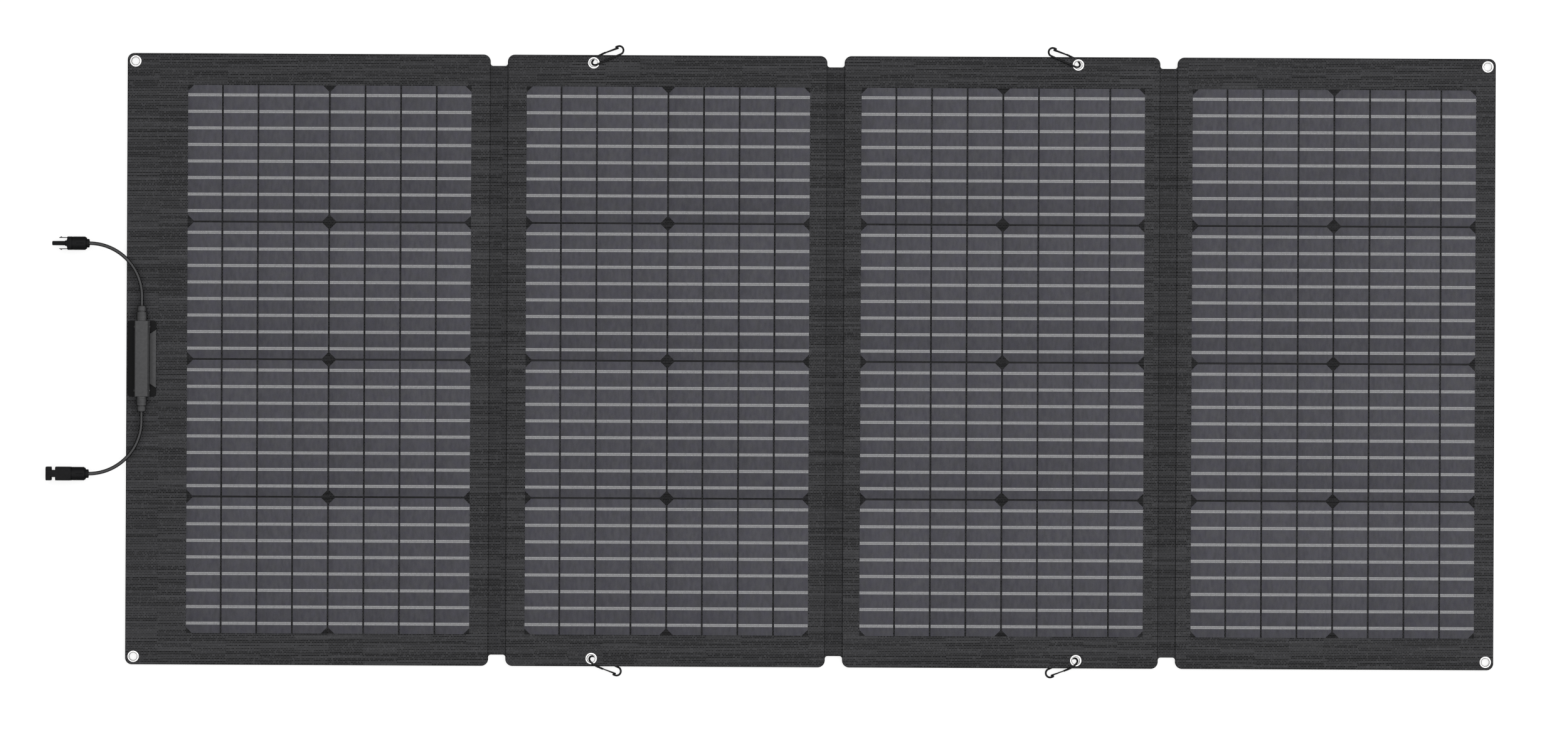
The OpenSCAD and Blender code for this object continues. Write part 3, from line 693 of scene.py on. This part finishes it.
def build_sheets(panel):
    """The front and back sheet of a panel, with rounded rims."""
    low, high = box(f"panel_{panel}_front_sheet")
    top, split, bottom = high.z, low.z, box(f"panel_{panel}_back_sheet")[0].z
    left_r = CORNER_R if panel == 1 else NOTCH_R
    right_r = CORNER_R if panel == 4 else NOTCH_R
    barrels = [(centre, BARREL_R) for centre in eyelet_centres(panel)]
    washers = [(centre, EYELET_FLANGE_R + WASHER_GAP) for centre, _ in barrels]
    front_layers = [
        (0.9, top), (0.24, top), (0.13, top - 0.03), (0.04, top - 0.1), (0.0, top - 0.22),
        (0.0, split + 0.05), (0.06, split),
    ]
    back_layers = [
        (0.06, split), (0.0, split - 0.06), (0.0, bottom + 0.4), (0.06, bottom + 0.2),
        (0.2, bottom + 0.06), (0.4, bottom),
    ]
    front_form = plate(low, high, left_r, right_r, front_layers, barrels)
    back_form = plate(low, high, left_r, right_r, back_layers, washers)
    front = add_panel_piece("front_film", panel, "front_sheet", front_form, "film")
    add_panel_piece("back_film", panel, "back_sheet", back_form, "back_film")
    rim = len(rounded_box(low, high, left_r, right_r, 0)) * (len(front_layers) - 1)
    front.data.materials.append(FINISHES["film_rim"])
    front.data.polygons.foreach_set("material_index", [int(i < rim) for i in range(len(front.data.polygons))])
    mark_field(front, panel)


def build_eyelets(panel):
    """The two eyelets of a panel: rolled lip, groove and crowned flange in front, flush washer behind."""
    low, high = box(f"panel_{panel}_eyelets")
    face = box(f"panel_{panel}_front_sheet")[1].z
    crown, hole, flange, washer = high.z - face, EYELET_HOLE_R, EYELET_FLANGE_R, 0.4
    barrel = BARREL_R - 0.05
    lip_edge, crown_edge = hole + 0.45, hole + 1.2
    front = [
        (hole + 0.06, 0.45), (hole + 0.12, 0.85), (hole + 0.28, 1), (lip_edge, 0.8), (hole + 0.5, 0.2),
        (hole + 1.1, 0.2), (crown_edge, 0.75), (hole + 1.75, 1), (hole + 2.2, 0.92), (hole + 2.6, 0.6),
        (hole + 2.84, 0.25),
    ]
    profile = [(hole, low.z + 0.25), (hole, face - 0.3)] + [(r, face + share * crown) for r, share in front]
    profile += [
        (flange, face + 0.01), (barrel, face), (barrel, low.z + washer), (flange, low.z + washer),
        (flange, low.z + 0.1), (flange - 0.1, low.z), (hole + 1.2, low.z), (hole + 1.0, low.z + 0.15),
        (hole + 0.8, low.z), (hole + 0.25, low.z),
    ]
    ring = turned(profile, 96, closed=True)
    centres = eyelet_centres(panel)
    forms = [moved(ring, Matrix.Translation((x, y, 0))) for x, y in centres]
    piece = add_panel_piece("eyelets", panel, "eyelets", joined(*forms), "eyelet", sharp=50)
    # painted shade: the front groove between lip and crown gets the near-black finish
    piece.data.materials.append(FINISHES["groove"])
    for polygon in piece.data.polygons:
        x, y, z = polygon.center * 1000
        radius = min(hypot(x - centre_x, y - centre_y) for centre_x, centre_y in centres)
        polygon.material_index = int(z > face and lip_edge < radius < crown_edge)


def build_cells(panel):
    """The cell strips of a panel. The first and last strip of a full cell have two cut corners."""
    low, high = box(f"panel_{panel}_cells")
    bevel, square = 0.05, 0.01
    forms = []
    for strip, x0, y0 in strip_corners(panel):
        a = CELL_CHAMFER if strip % STRIPS_PER_CELL == 0 else square
        b = CELL_CHAMFER if strip % STRIPS_PER_CELL == STRIPS_PER_CELL - 1 else square
        rings = []
        for inset, z in ((0, low.z), (0, high.z - bevel), (bevel, high.z)):
            w, h = STRIP_W - 2 * inset, STRIP_H - 2 * inset
            ring = [(a, 0), (w - b, 0), (w, b), (w, h - b), (w - b, h), (a, h), (0, h - a), (0, a)]
            rings.append([(x0 + inset + dx, y0 + inset + dy, z) for dx, dy in ring])
        forms.append(stacked(rings))
    mark_field(add_panel_piece("cell_strips", panel, "cells", joined(*forms), "cell"), panel)


def build_ribbons(panel):
    """The ribbons on a panel's cells, one length for each strip, with bevelled edges."""
    low, high = box(f"panel_{panel}_ribbons")
    bevel, end_gap, shoulder = 0.04, 0.15, high.z - 0.4 * (high.z - low.z)
    forms = []
    for _, strip_x, strip_y in strip_corners(panel):
        x0, x1 = strip_x + end_gap, strip_x + STRIP_W - end_gap
        for i in range(RIBBONS):
            middle = strip_y + FIRST_RIBBON + i * RIBBON_PITCH
            y0, y1 = middle - RIBBON_W / 2, middle + RIBBON_W / 2
            forms.append(stacked([
                [(x, y, z) for x, y in oblong(x0 + inset, x1 - inset, y0 + inset, y1 - inset)]
                for inset, z in ((0, low.z), (0, shoulder), (bevel, high.z))
            ]))
    add_panel_piece("ribbons", panel, "ribbons", joined(*forms), "ribbon")


# ---------------- folds


def web_columns(half):
    """Distances from the fold line at which a web has an edge, close together in the fillets."""
    near = [half - NOTCH_FILLET * (1 - cos(radians(a))) for a in range(0, 91, 15)]
    inner = [near[-1] * k / 9 for k in range(9)]
    one_side = sorted(set(near + inner))
    return [-x for x in reversed(one_side) if x > 0] + one_side


def bend_with_fold(piece):
    """Bakes a piece's placement into its mesh; it does not bend it."""
    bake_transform(piece)


def build_web(fold):
    """A web for a fold, with a shallow crease along both sides."""
    low, high = box(f"fold_web_{fold}")
    centre, half = (low.x + high.x) / 2, (high.x - low.x) / 2
    reach = high.y - NOTCH_FILLET
    rows = 61
    crease_depth, crease_in, crease_width = 0.22, 1.2, 0.5
    rings = []
    for dx in web_columns(half):
        into = half - abs(dx)
        inside = max(NOTCH_FILLET - into, 0.0)
        rise = NOTCH_FILLET - sqrt(NOTCH_FILLET**2 - inside**2)
        crease = crease_depth * exp(-(((into - crease_in) / crease_width) ** 2))
        end = reach + rise
        line = [2 * end * k / (rows - 1) - end for k in range(rows)]
        ring = [(centre + dx, y, high.z - crease) for y in line]
        rings.append(ring + [(centre + dx, -y, low.z) for y in line])
    points, faces = stacked(rings, capped=False)
    around = 2 * rows
    for a in (0, len(points) - around):
        faces += [(a + i, a + i + 1, a + around - 2 - i, a + around - 1 - i) for i in range(rows - 1)]
    bend_with_fold(add_piece(f"web_{fold}", (points, faces), "web", f"fold_web_{fold}"))


def build_conductors(fold):
    """The two flat conductors inside a web."""
    low, high = box(f"fold_conductor_{fold}")
    web_low, web_high = box(f"fold_web_{fold}")
    width, steps = 12.0, 32
    step = (web_high.x - web_low.x) / steps
    xs = [low.x] + [web_low.x + step * k for k in range(steps + 1)] + [high.x]
    forms = []
    for y0 in (low.y, high.y - width):
        section = oblong(y0, y0 + width, low.z, high.z)
        forms.append(stacked([[(x, y, z) for y, z in section] for x in xs]))
    piece = add_piece(f"conductors_{fold}", joined(*forms), "copper", f"fold_conductor_{fold}")
    bend_with_fold(piece)


# ---------------- wire clips

# Clip frame: u along the clip, v away from the panel, w up from the sheet's middle
LEG_W = 3.0
INNER_V = -4.05
OUTER_V = 6.3
NOSE_V = 7.3
BAR_V = 5.05
PIVOT_U = 18.0
BEND_U = 38.2
BEND_R = (NOSE_V - INNER_V) / 2
STRAND_W = HOOK_R + GATE_R + 0.15
STRAND_SPREAD = 0.5


def hook_line():
    """Middle line of a hook: gate end, rear leg, through the eyelet, front leg, far bend, nose."""
    line = [
        (PIVOT_U + 1.6, OUTER_V, 0), (PIVOT_U - 0.6, OUTER_V, -0.1), (15.6, OUTER_V, -0.55 * LEG_W),
        (12.4, OUTER_V, -LEG_W), (7, 6, -LEG_W), (3.4, 5, -LEG_W), (0.6, 3.7, -LEG_W),
        (-1.5, 2.1, -0.62 * LEG_W), (-2.2, 0, 0), (-1.4, -2.3, 0.66 * LEG_W), (1, -3.7, LEG_W),
        (5.4, INNER_V, LEG_W), (16, INNER_V, LEG_W), (27, INNER_V, LEG_W),
    ]
    middle_v = INNER_V + BEND_R
    for angle in range(-90, 91, 30):
        a = radians(angle)
        rise = LEG_W * (90 - angle) / 180
        line.append((BEND_U + BEND_R * cos(a), middle_v + BEND_R * sin(a), rise))
    return line + [(36, NOSE_V, 0)]


def clip_place(clip):
    """From a clip's own frame to the panel's: a lower clip is turned over, clips 3 and 4 are mirrored."""
    at = joint_at(f"clip_{clip}_swivel")
    place = Matrix.Translation(at)
    if at.y < 0:
        place = place @ Matrix.Rotation(pi, 4, "X")
    if clip > 2:
        place = place @ Matrix.Scale(-1, 4, (1, 0, 0))
    return place @ Matrix.Rotation(CLIP_ANGLE, 4, "Z")


def build_clip(clip):
    """The hook, with a hole across its gate end, and the spring wire gate."""
    place = clip_place(clip)
    hook_form = tube(smooth_line(hook_line(), 8), HOOK_R, 24)
    hook = add_piece(f"hook_{clip}", hook_form, "clip_wire", f"clip_{clip}_hook", place)
    hole = turned([(GATE_R + 0.05, -2 * HOOK_R), (GATE_R + 0.05, 2 * HOOK_R)], 24)
    cut_out(hook, hole, place @ Matrix.Translation((PIVOT_U, OUTER_V, 0)), "clip_wire")
    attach(hook, f"clip_{clip}")
    bar_u, half_gap, turn_r = BEND_U - 0.2, 0.2, 0.8
    strand = [
        (PIVOT_U, OUTER_V, -half_gap), (PIVOT_U, OUTER_V, -STRAND_W),
        (bar_u, BAR_V - STRAND_SPREAD, -STRAND_W), (bar_u, BAR_V + STRAND_SPREAD, STRAND_W),
        (PIVOT_U, OUTER_V, STRAND_W), (PIVOT_U, OUTER_V, half_gap),
    ]
    gate_form = tube(rounded_line(strand, turn_r), GATE_R, 16)
    add_piece(f"gate_{clip}", gate_form, "clip_wire", f"clip_{clip}_gate", place, body=f"gate_{clip}")


# ---------------- junction box


def build_box_base():
    """Base flange with two low inner walls, and the sloping flank."""
    low, high = box("jbox_base")
    cover_low, cover_high = box("jbox_cover")
    flange_top = box("jbox_gasket")[0].z
    corner_r, wall, thick = 4.0, 1.65, 1.2
    forms = [plate(low, high, corner_r, corner_r, [
        (0.5, flange_top), (0.25, flange_top - 0.06), (0.08, flange_top - 0.22), (0.0, flange_top - 0.5),
        (0.0, low.z + 0.1), (0.1, low.z),
    ])]
    half = (cover_high.y - cover_low.y) / 2 - wall
    centre = Matrix.Translation((0, (cover_low.y + cover_high.y) / 2, 0))
    for x0 in (cover_low.x + wall, cover_high.x - wall - thick):
        section = oblong(x0, x0 + thick, flange_top, high.z)
        forms.append(moved(prism(section, half, 0.15, 2), centre))
    add_piece("box_base", joined(*forms), "box_base", "jbox_base", body="panel_1")
    build_flank(high, cover_high.x, flange_top)


def build_flank(high, cover_edge, flange_top):
    """The sloping flank beside the cover, with chamfered ends."""
    outer_half, chamfer = 39.0, 5.5
    x0, x1 = cover_edge + 0.4, high.x
    section = [
        (x0, flange_top - 0.2), (x1, flange_top - 0.2), (x1, flange_top + 0.8), (x1 - 0.6, flange_top + 1.2),
        (x0, high.z - 0.4),
    ]

    def half_at(x):
        return outer_half - chamfer * (x1 - x) / (x1 - x0)

    ends = [[(x, side * half_at(x), z) for x, z in section] for side in (-1, 1)]
    flank = rounded(stacked(ends), 0.3, 3)
    add_piece("box_flank", flank, "box_base", finish="box_flank", body="panel_1")


def build_cover():
    """The hollow cover with drafted sides, rounded edges and holes for the glands."""
    low, high = box("jbox_cover")
    shoulder, inset_left, inset_right, wall, bore_r = high.z - 6.6, 1.7, 1.9, 1.6, 5.1
    half, past = (high.y - low.y) / 2, 5

    def section(s, bottom):
        return [
            (low.x + s, bottom), (high.x - s, bottom), (high.x - s, shoulder),
            (high.x - inset_right - s, high.z - s), (low.x + inset_left + s, high.z - s),
            (low.x + s, shoulder),
        ]

    cover = add_piece("box_cover", prism(section(0, low.z), half, 0.55, 4), "box_cover", "jbox_cover")
    cut_out(cover, prism(section(wall, low.z - 3), half - wall, 0.4, 2), Matrix(), "box_cover")
    at = joint_at("lead_upper_bend")
    along_y = Matrix.Translation((at.x, 0, at.z)) @ Matrix.Rotation(pi / 2, 4, "X")
    cut_out(cover, turned([(bore_r, -half - past), (bore_r, half + past)]), along_y, "box_cover")
    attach(cover, "panel_1")


def build_screws():
    """Four small fasteners with domed, slotted heads on the cover's sides."""
    low, high = box("jbox_screws")
    y, z = high.y - 2.0, (low.z + high.z) / 2
    left, right = low.x + 0.8, high.x - 0.8
    head = [(0.9, 2.6), (0.9, -0.1), (1.95, -0.1), (2.0, -0.35), (1.85, -0.6), (1.5, -0.76), (0.9, -0.84)]
    slot = prism(oblong(-0.25, 0.25, -1.5, -0.55), 2.5, 0.02, 1)
    spots = [(left, -y, 1), (left, y, 1), (right, -y, -1), (right, y, -1)]
    for number, (x, y_at, side) in enumerate(spots, 1):
        place = Matrix.Translation((x, y_at, z)) @ Matrix.Rotation(side * pi / 2, 4, "Y")
        stands_for = "jbox_screws" if number == 1 else None
        screw = add_piece(f"box_screw_{number}", turned(head, 40), "screw", stands_for, place)
        cut_out(screw, slot, place, "screw")
        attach(screw, "panel_1")


def build_gland(name):
    """Cable gland: smooth barrel with a rim, deep groove, tapered neck with a faint seam."""
    at, side = joint_at(f"lead_{name}_bend"), LEAD_SIDES[name]
    length, bore, barrel = 20.1, 2.5, 7.2
    profile = [
        (bore, -4), (5.0, -4), (5.0, 0.02), (6.8, 0.02), (7.1, 0.12), (barrel, 0.4), (barrel, 2.4),
        (7.08, 2.5), (7.08, 2.75), (barrel, 2.85), (barrel, 8.6), (7.12, 8.7), (7.12, 8.95), (barrel, 9.05),
        (barrel, 11.2), (7.12, 11.5), (6.85, 11.6), (5.3, 11.65), (5.2, 11.85), (5.2, 12.95), (5.3, 13.15),
        (6.1, 13.2), (6.38, 13.35), (6.45, 13.7), (6.35, 15.6), (6.25, 15.7), (6.25, 15.9), (6.3, 16.0),
        (5.9, 18.6), (5.6, 19.6), (5.1, length - 0.1), (4.4, length), (2.9, length), (bore, length - 0.3),
    ]
    start = Matrix.Translation((at.x, side * (abs(at.y) - length), at.z))
    place = start @ Matrix.Rotation(-side * pi / 2, 4, "X")
    add_piece(
        f"gland_{name}_body", turned(profile, 120, closed=True), "gland", f"gland_{name}", place,
        sharp=50, body="panel_1",
    )


# ---------------- leads


def mouth_place(name):
    """From a lead's own frame, with its origin at the gland's mouth, to the panel's."""
    tilt = Matrix.Rotation(-LEAD_TILT, 4, "Y")
    mirror = Matrix.Scale(LEAD_SIDES[name], 4, (0, 1, 0))
    return Matrix.Translation(joint_at(f"lead_{name}_bend")) @ tilt @ mirror


def connector_place(name):
    """From a connector's own frame to the panel's: Z from the cable to its nose, X up, Y across."""
    return mouth_place(name) @ Matrix.Translation(CABLE_END) @ Matrix.Rotation(-pi / 2, 4, "Y")


def build_cable(name):
    """A cable from inside the box to its connector."""
    inside, straight_steps, turn_steps, tail, tail_steps = 26.0, 24, 60, 8.0, 4
    straight = inside + CABLE_STRAIGHT
    path = [Vector((0, straight * k / straight_steps - inside, 0)) for k in range(straight_steps)]
    for k in range(turn_steps + 1):
        a = pi / 2 * k / turn_steps
        path.append(Vector((cos(a) - 1, sin(a), 0)) * CABLE_TURN_R + Vector((0, CABLE_STRAIGHT, 0)))
    path += [CABLE_END - Vector((tail * k / tail_steps, 0, 0)) for k in range(1, tail_steps + 1)]
    place = mouth_place(name)
    cable = add_piece(f"cable_{name}_jacket", tube(path, CABLE_R, 24), "cable", f"cable_{name}", place)
    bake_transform(cable)


def slotted_nut(collar, length):
    """A cable nut: end collar, chamfer, six long grip slots, open end."""
    bore, collar_r, nut_r, top = 2.5, 5.8, 9.0, collar + length
    profile = [
        (bore, 0.25), (2.75, 0.0), (collar_r - 0.4, 0.0), (collar_r - 0.1, 0.1), (collar_r, 0.4),
        (collar_r, collar - 0.05), (7.2, collar), (7.45, collar + 0.1), (8.75, collar + 1.85),
        (8.93, collar + 2.2), (nut_r, collar + 2.6), (nut_r, top - 0.5), (8.93, top - 0.15), (8.7, top),
        (6.5, top), (6.45, top - 8.9), (bore, top - 9.0),
    ]
    fine, longest = [], 0.4
    for (r0, z0), (r1, z1) in zip(profile, profile[1:]):
        steps = max(1, round(abs(z1 - z0) / longest))
        fine += [(r0 + (r1 - r0) * k / steps, z0 + (z1 - z0) * k / steps) for k in range(steps)]
    pitch, half_width, depth, run_out = 2 * pi / 6, 0.055, 0.75, 0.8
    slot_start, slot_end, outside_r = collar + 2.4, top - 5.2, 8.4

    def slot_depth(radius, angle, at):
        """How deep the grip slots cut at a point."""
        if radius < outside_r or not slot_start < at < slot_end:
            return 0.0
        off = abs((angle / pitch + 0.5) % 1 - 0.5) * pitch
        ends = min((at - slot_start) / run_out, (slot_end - at) / run_out, 1.0)
        return depth * ends * min(1.0, max(0.0, (1 - off / half_width) * 3))

    points, faces = turned(fine + [profile[-1]], 360, closed=True)
    cut = []
    for x, y, at in points:
        radius = hypot(x, y)
        share = 1 - slot_depth(radius, atan2(y, x), at) / radius
        cut.append((x * share, y * share, at))
    return cut, faces


def build_nut(name, lead, collar, length):
    """A connector's nut. Returns its housing's place, with the origin at the nut's open end."""
    place, body = connector_place(lead), f"lead_{lead}"
    nut = slotted_nut(collar, length)
    add_piece(f"{name}_nut_body", nut, "connector", f"{name}_nut", place, sharp=35, body=body)
    return place @ Matrix.Translation((0, 0, collar + length))


# A housing's end inside its nut, from the nut's open end: (z, radius, power)
HOUSING_NECK = [
    (-9, 1.9, 2), (-9, 5.9, 2), (-8.6, 6.35, 2), (-0.1, 6.35, 2), (0, 6.4, 2), (0.05, 8.2, 2.4),
    (0.75, 8.2, 2.4),
]


def even(profile):
    """Rings for loft that are as high as wide, from (z, radius, power)."""
    return [(z, r, r, power) for z, r, power in profile]


def build_plug():
    """The plug: slotted nut, housing with two latch arms and a sleeve, sealing ring."""
    place = build_nut("plug", "upper", collar=3.4, length=18.6)
    body, step, sleeve, half = 6.8, 3.8, 17.1, 9.0
    root, tip = body + step, body + step + sleeve
    shell = loft(even(HOUSING_NECK + [
        (0.8, 8.8, 3.4), (1.0, half, 3.6), (body - 0.25, half, 3.6), (body - 0.05, 8.9, 3.6),
        (body, 8.7, 3.6), (body, 4.3, 2), (body + 0.2, 4.0, 2), (body + 0.9, 3.75, 2), (root - 0.4, 3.75, 2),
        (root, 3.4, 2), (root, 2.95, 2), (tip - 0.9, 2.9, 2), (tip - 0.3, 2.75, 2), (tip, 2.45, 2),
        (tip, 2.1, 2), (tip - 0.4, 1.9, 2),
    ]), 96, closed=True)
    housing = joined(shell, latch_arm(body, -1), latch_arm(body, 1))
    add_piece("plug_shell", housing, "connector", "plug_housing", place, sharp=35, body="lead_upper")
    seal_r, wire_r, seal_z, steps = 4.5, 0.7, body + 0.9, 24
    turn = [2 * pi * i / steps for i in range(steps)]
    seal = turned([(seal_r + wire_r * cos(a), seal_z + wire_r * sin(a)) for a in turn], closed=True)
    add_piece("plug_ring_seal", seal, "seal", "plug_seal", place, body="lead_upper")


def latch_arm(root, side):
    """One latch arm: a thin tongue with a wedge barb at its tip."""
    reach, length, half = 7.6, 11.3, 3.0
    outline = [
        (root - 0.8, reach - 0.5), (root + length, reach - 0.5), (root + length + 0.5, reach - 0.2),
        (root + length - 2.4, reach + 1.3), (root + length - 3.0, reach + 1.3),
        (root + length - 3.1, reach + 0.5), (root - 0.8, reach + 0.5),
    ]
    points, faces = prism([(y, z) for z, y in outline], half, 0.12, 2)
    return [(y, side * x, z) for x, y, z in points], faces


def build_socket():
    """The socket: slotted nut, square housing with side notches and a spine, flanged head, bore."""
    place = build_nut("socket", "lower", collar=3.7, length=17.9)
    body, notch, head, half, slim, bore = 21.9, 6.9, 6.0, 9.25, 4.85, 18.1
    flange, total = body + notch, body + notch + head
    rings = even(HOUSING_NECK + [(0.8, 8.9, 3.4), (1.1, 9.15, 4), (4, half, 6), (body - 0.3, half, 7)])
    rings += [
        (body - 0.08, half, half - 0.08, 7), (body, half, half - 0.3, 7), (body, half, slim + 0.2, 7),
        (body + 0.2, half, slim, 7), (flange - 0.2, half, slim, 7), (flange, half, slim + 0.2, 7),
        (flange, half, half - 0.3, 7), (flange + 0.08, half, half - 0.08, 7),
    ]
    rings += even([
        (flange + 0.3, half, 7), (total - 0.3, half, 7), (total - 0.08, half - 0.08, 7),
        (total, half - 0.3, 7), (total, 3.5, 2), (total - 0.3, 3.15, 2), (total - bore, 3.1, 2),
        (total - bore, 1.9, 2),
    ])
    spine_start, spine_end = 4.5, total - 0.6
    reach = (spine_end - spine_start) / 2
    points, faces = prism([(8.9, -2.2), (9.45, -2.0), (9.5, 2.0), (8.9, 2.2)], reach, 0.12, 2)
    spine = [(x, across, spine_start + reach + along) for x, along, across in points], faces
    housing = joined(loft(rings, 96, closed=True), spine)
    add_piece("socket_shell", housing, "connector", "socket_housing", place, sharp=35, body="lead_lower")


# ---------------- assembly

for panel in (1, 2, 3, 4):
    build_sheets(panel)
    build_eyelets(panel)
    build_cells(panel)
    build_ribbons(panel)
for fold in (1, 2, 3):
    build_web(fold)
    build_conductors(fold)
for clip in (1, 2, 3, 4):
    build_clip(clip)
build_box_base()
build_cover()
build_screws()
for lead in LEAD_SIDES:
    build_gland(lead)
    build_cable(lead)
build_plug()
build_socket()

for part in frame["record"]["subparts"]:
    node = frame["nodes"][part["node"]]
    if not node.hide_render:
        for material_slot in node.material_slots:
            material_slot.material = FINISHES[part["material_slot"]]

# ---------------- stage


def build_floor():
    """A plain pale floor just under the lowest point. It sends little light back up to the dark sheet."""
    low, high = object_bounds()
    middle, reach, gap = (low + high) / 2, 12.0, 0.0002
    mesh = bpy.data.meshes.new("floor")
    corners = oblong(middle.x - reach, middle.x + reach, middle.y - reach, middle.y + reach)
    mesh.from_pydata([(x, y, low.z - gap) for x, y in corners], [], [(0, 1, 2, 3)])
    paint = bpy.data.materials.new("floor_paint")
    paint.use_nodes = True
    tree = paint.node_tree
    seen = add_node(tree, "LightPath").outputs["Is Camera Ray"]
    glow = add_node(tree, "Math", {0: seen, 1: 0.8}, operation="MULTIPLY").outputs[0]
    set_inputs(tree.nodes["Principled BSDF"], {
        "Base Color": (0.25, 0.25, 0.25, 1), "Roughness": 0.9, "Specular IOR Level": 0.1,
        "Emission Color": (1, 1, 1, 1), "Emission Strength": glow,
    })
    mesh.materials.append(paint)
    show("floor", mesh)


def build_light():
    """One soft square light, up and to the right, that faces the sheet."""
    place, size, power = Vector((2.6, 1.4, 3.4)), 1.6, 25
    data = bpy.data.lights.new("key", "AREA")
    data.shape, data.size, data.energy = "SQUARE", size, power
    light = show("key", data)
    light.location = place
    light.rotation_euler = (-place).to_track_quat("-Z", "Y").to_euler()


def build_camera():
    """Straight above the sheet, far enough away that the view is almost parallel."""
    low = Vector(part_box("panel_1_front_sheet")[0])
    high = Vector(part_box("panel_4_front_sheet")[1])
    middle = (low + high) / 2
    view_width, lens, sensor, farthest = 2.1030, 135.0, 36.0, 60
    shift_x, shift_y, roll = -0.0354, -0.0194, radians(0.255)
    data = bpy.data.cameras.new("camera")
    data.lens, data.sensor_width, data.clip_end = lens, sensor, farthest
    camera = show("camera", data)
    camera.location = (middle.x + shift_x, middle.y + shift_y, high.z + view_width * lens / sensor)
    camera.rotation_euler = (0, 0, roll)
    bpy.context.scene.camera = camera


def build_sky():
    """A soft dome of light, brightest overhead and a little to the right. The camera sees it white."""
    world = bpy.data.worlds.new("world")
    bpy.context.scene.world = world
    world.use_nodes = True
    tree = world.node_tree
    brightest = Vector((0.22, 0.08, 0.97)).normalized()
    direction = add_node(tree, "TexCoord").outputs["Generated"]
    height = add_node(tree, "VectorMath", {0: direction, 1: brightest}, operation="DOT_PRODUCT")
    levels = {"Value": height.outputs["Value"]}
    levels.update({"From Min": 0.3, "From Max": 0.85, "To Min": 0.08, "To Max": 1.5})
    strength = add_node(tree, "MapRange", levels, interpolation_type="SMOOTHSTEP").outputs[0]
    seen = add_node(tree, "LightPath").outputs["Is Camera Ray"]
    shown = add_node(tree, "Math", {0: strength, 1: seen}, operation="MAXIMUM").outputs[0]
    set_inputs(tree.nodes["Background"], {"Color": (1, 1, 1, 1), "Strength": shown})


build_floor()
build_light()
build_camera()
build_sky()
bpy.context.scene.view_settings.view_transform = "Standard"
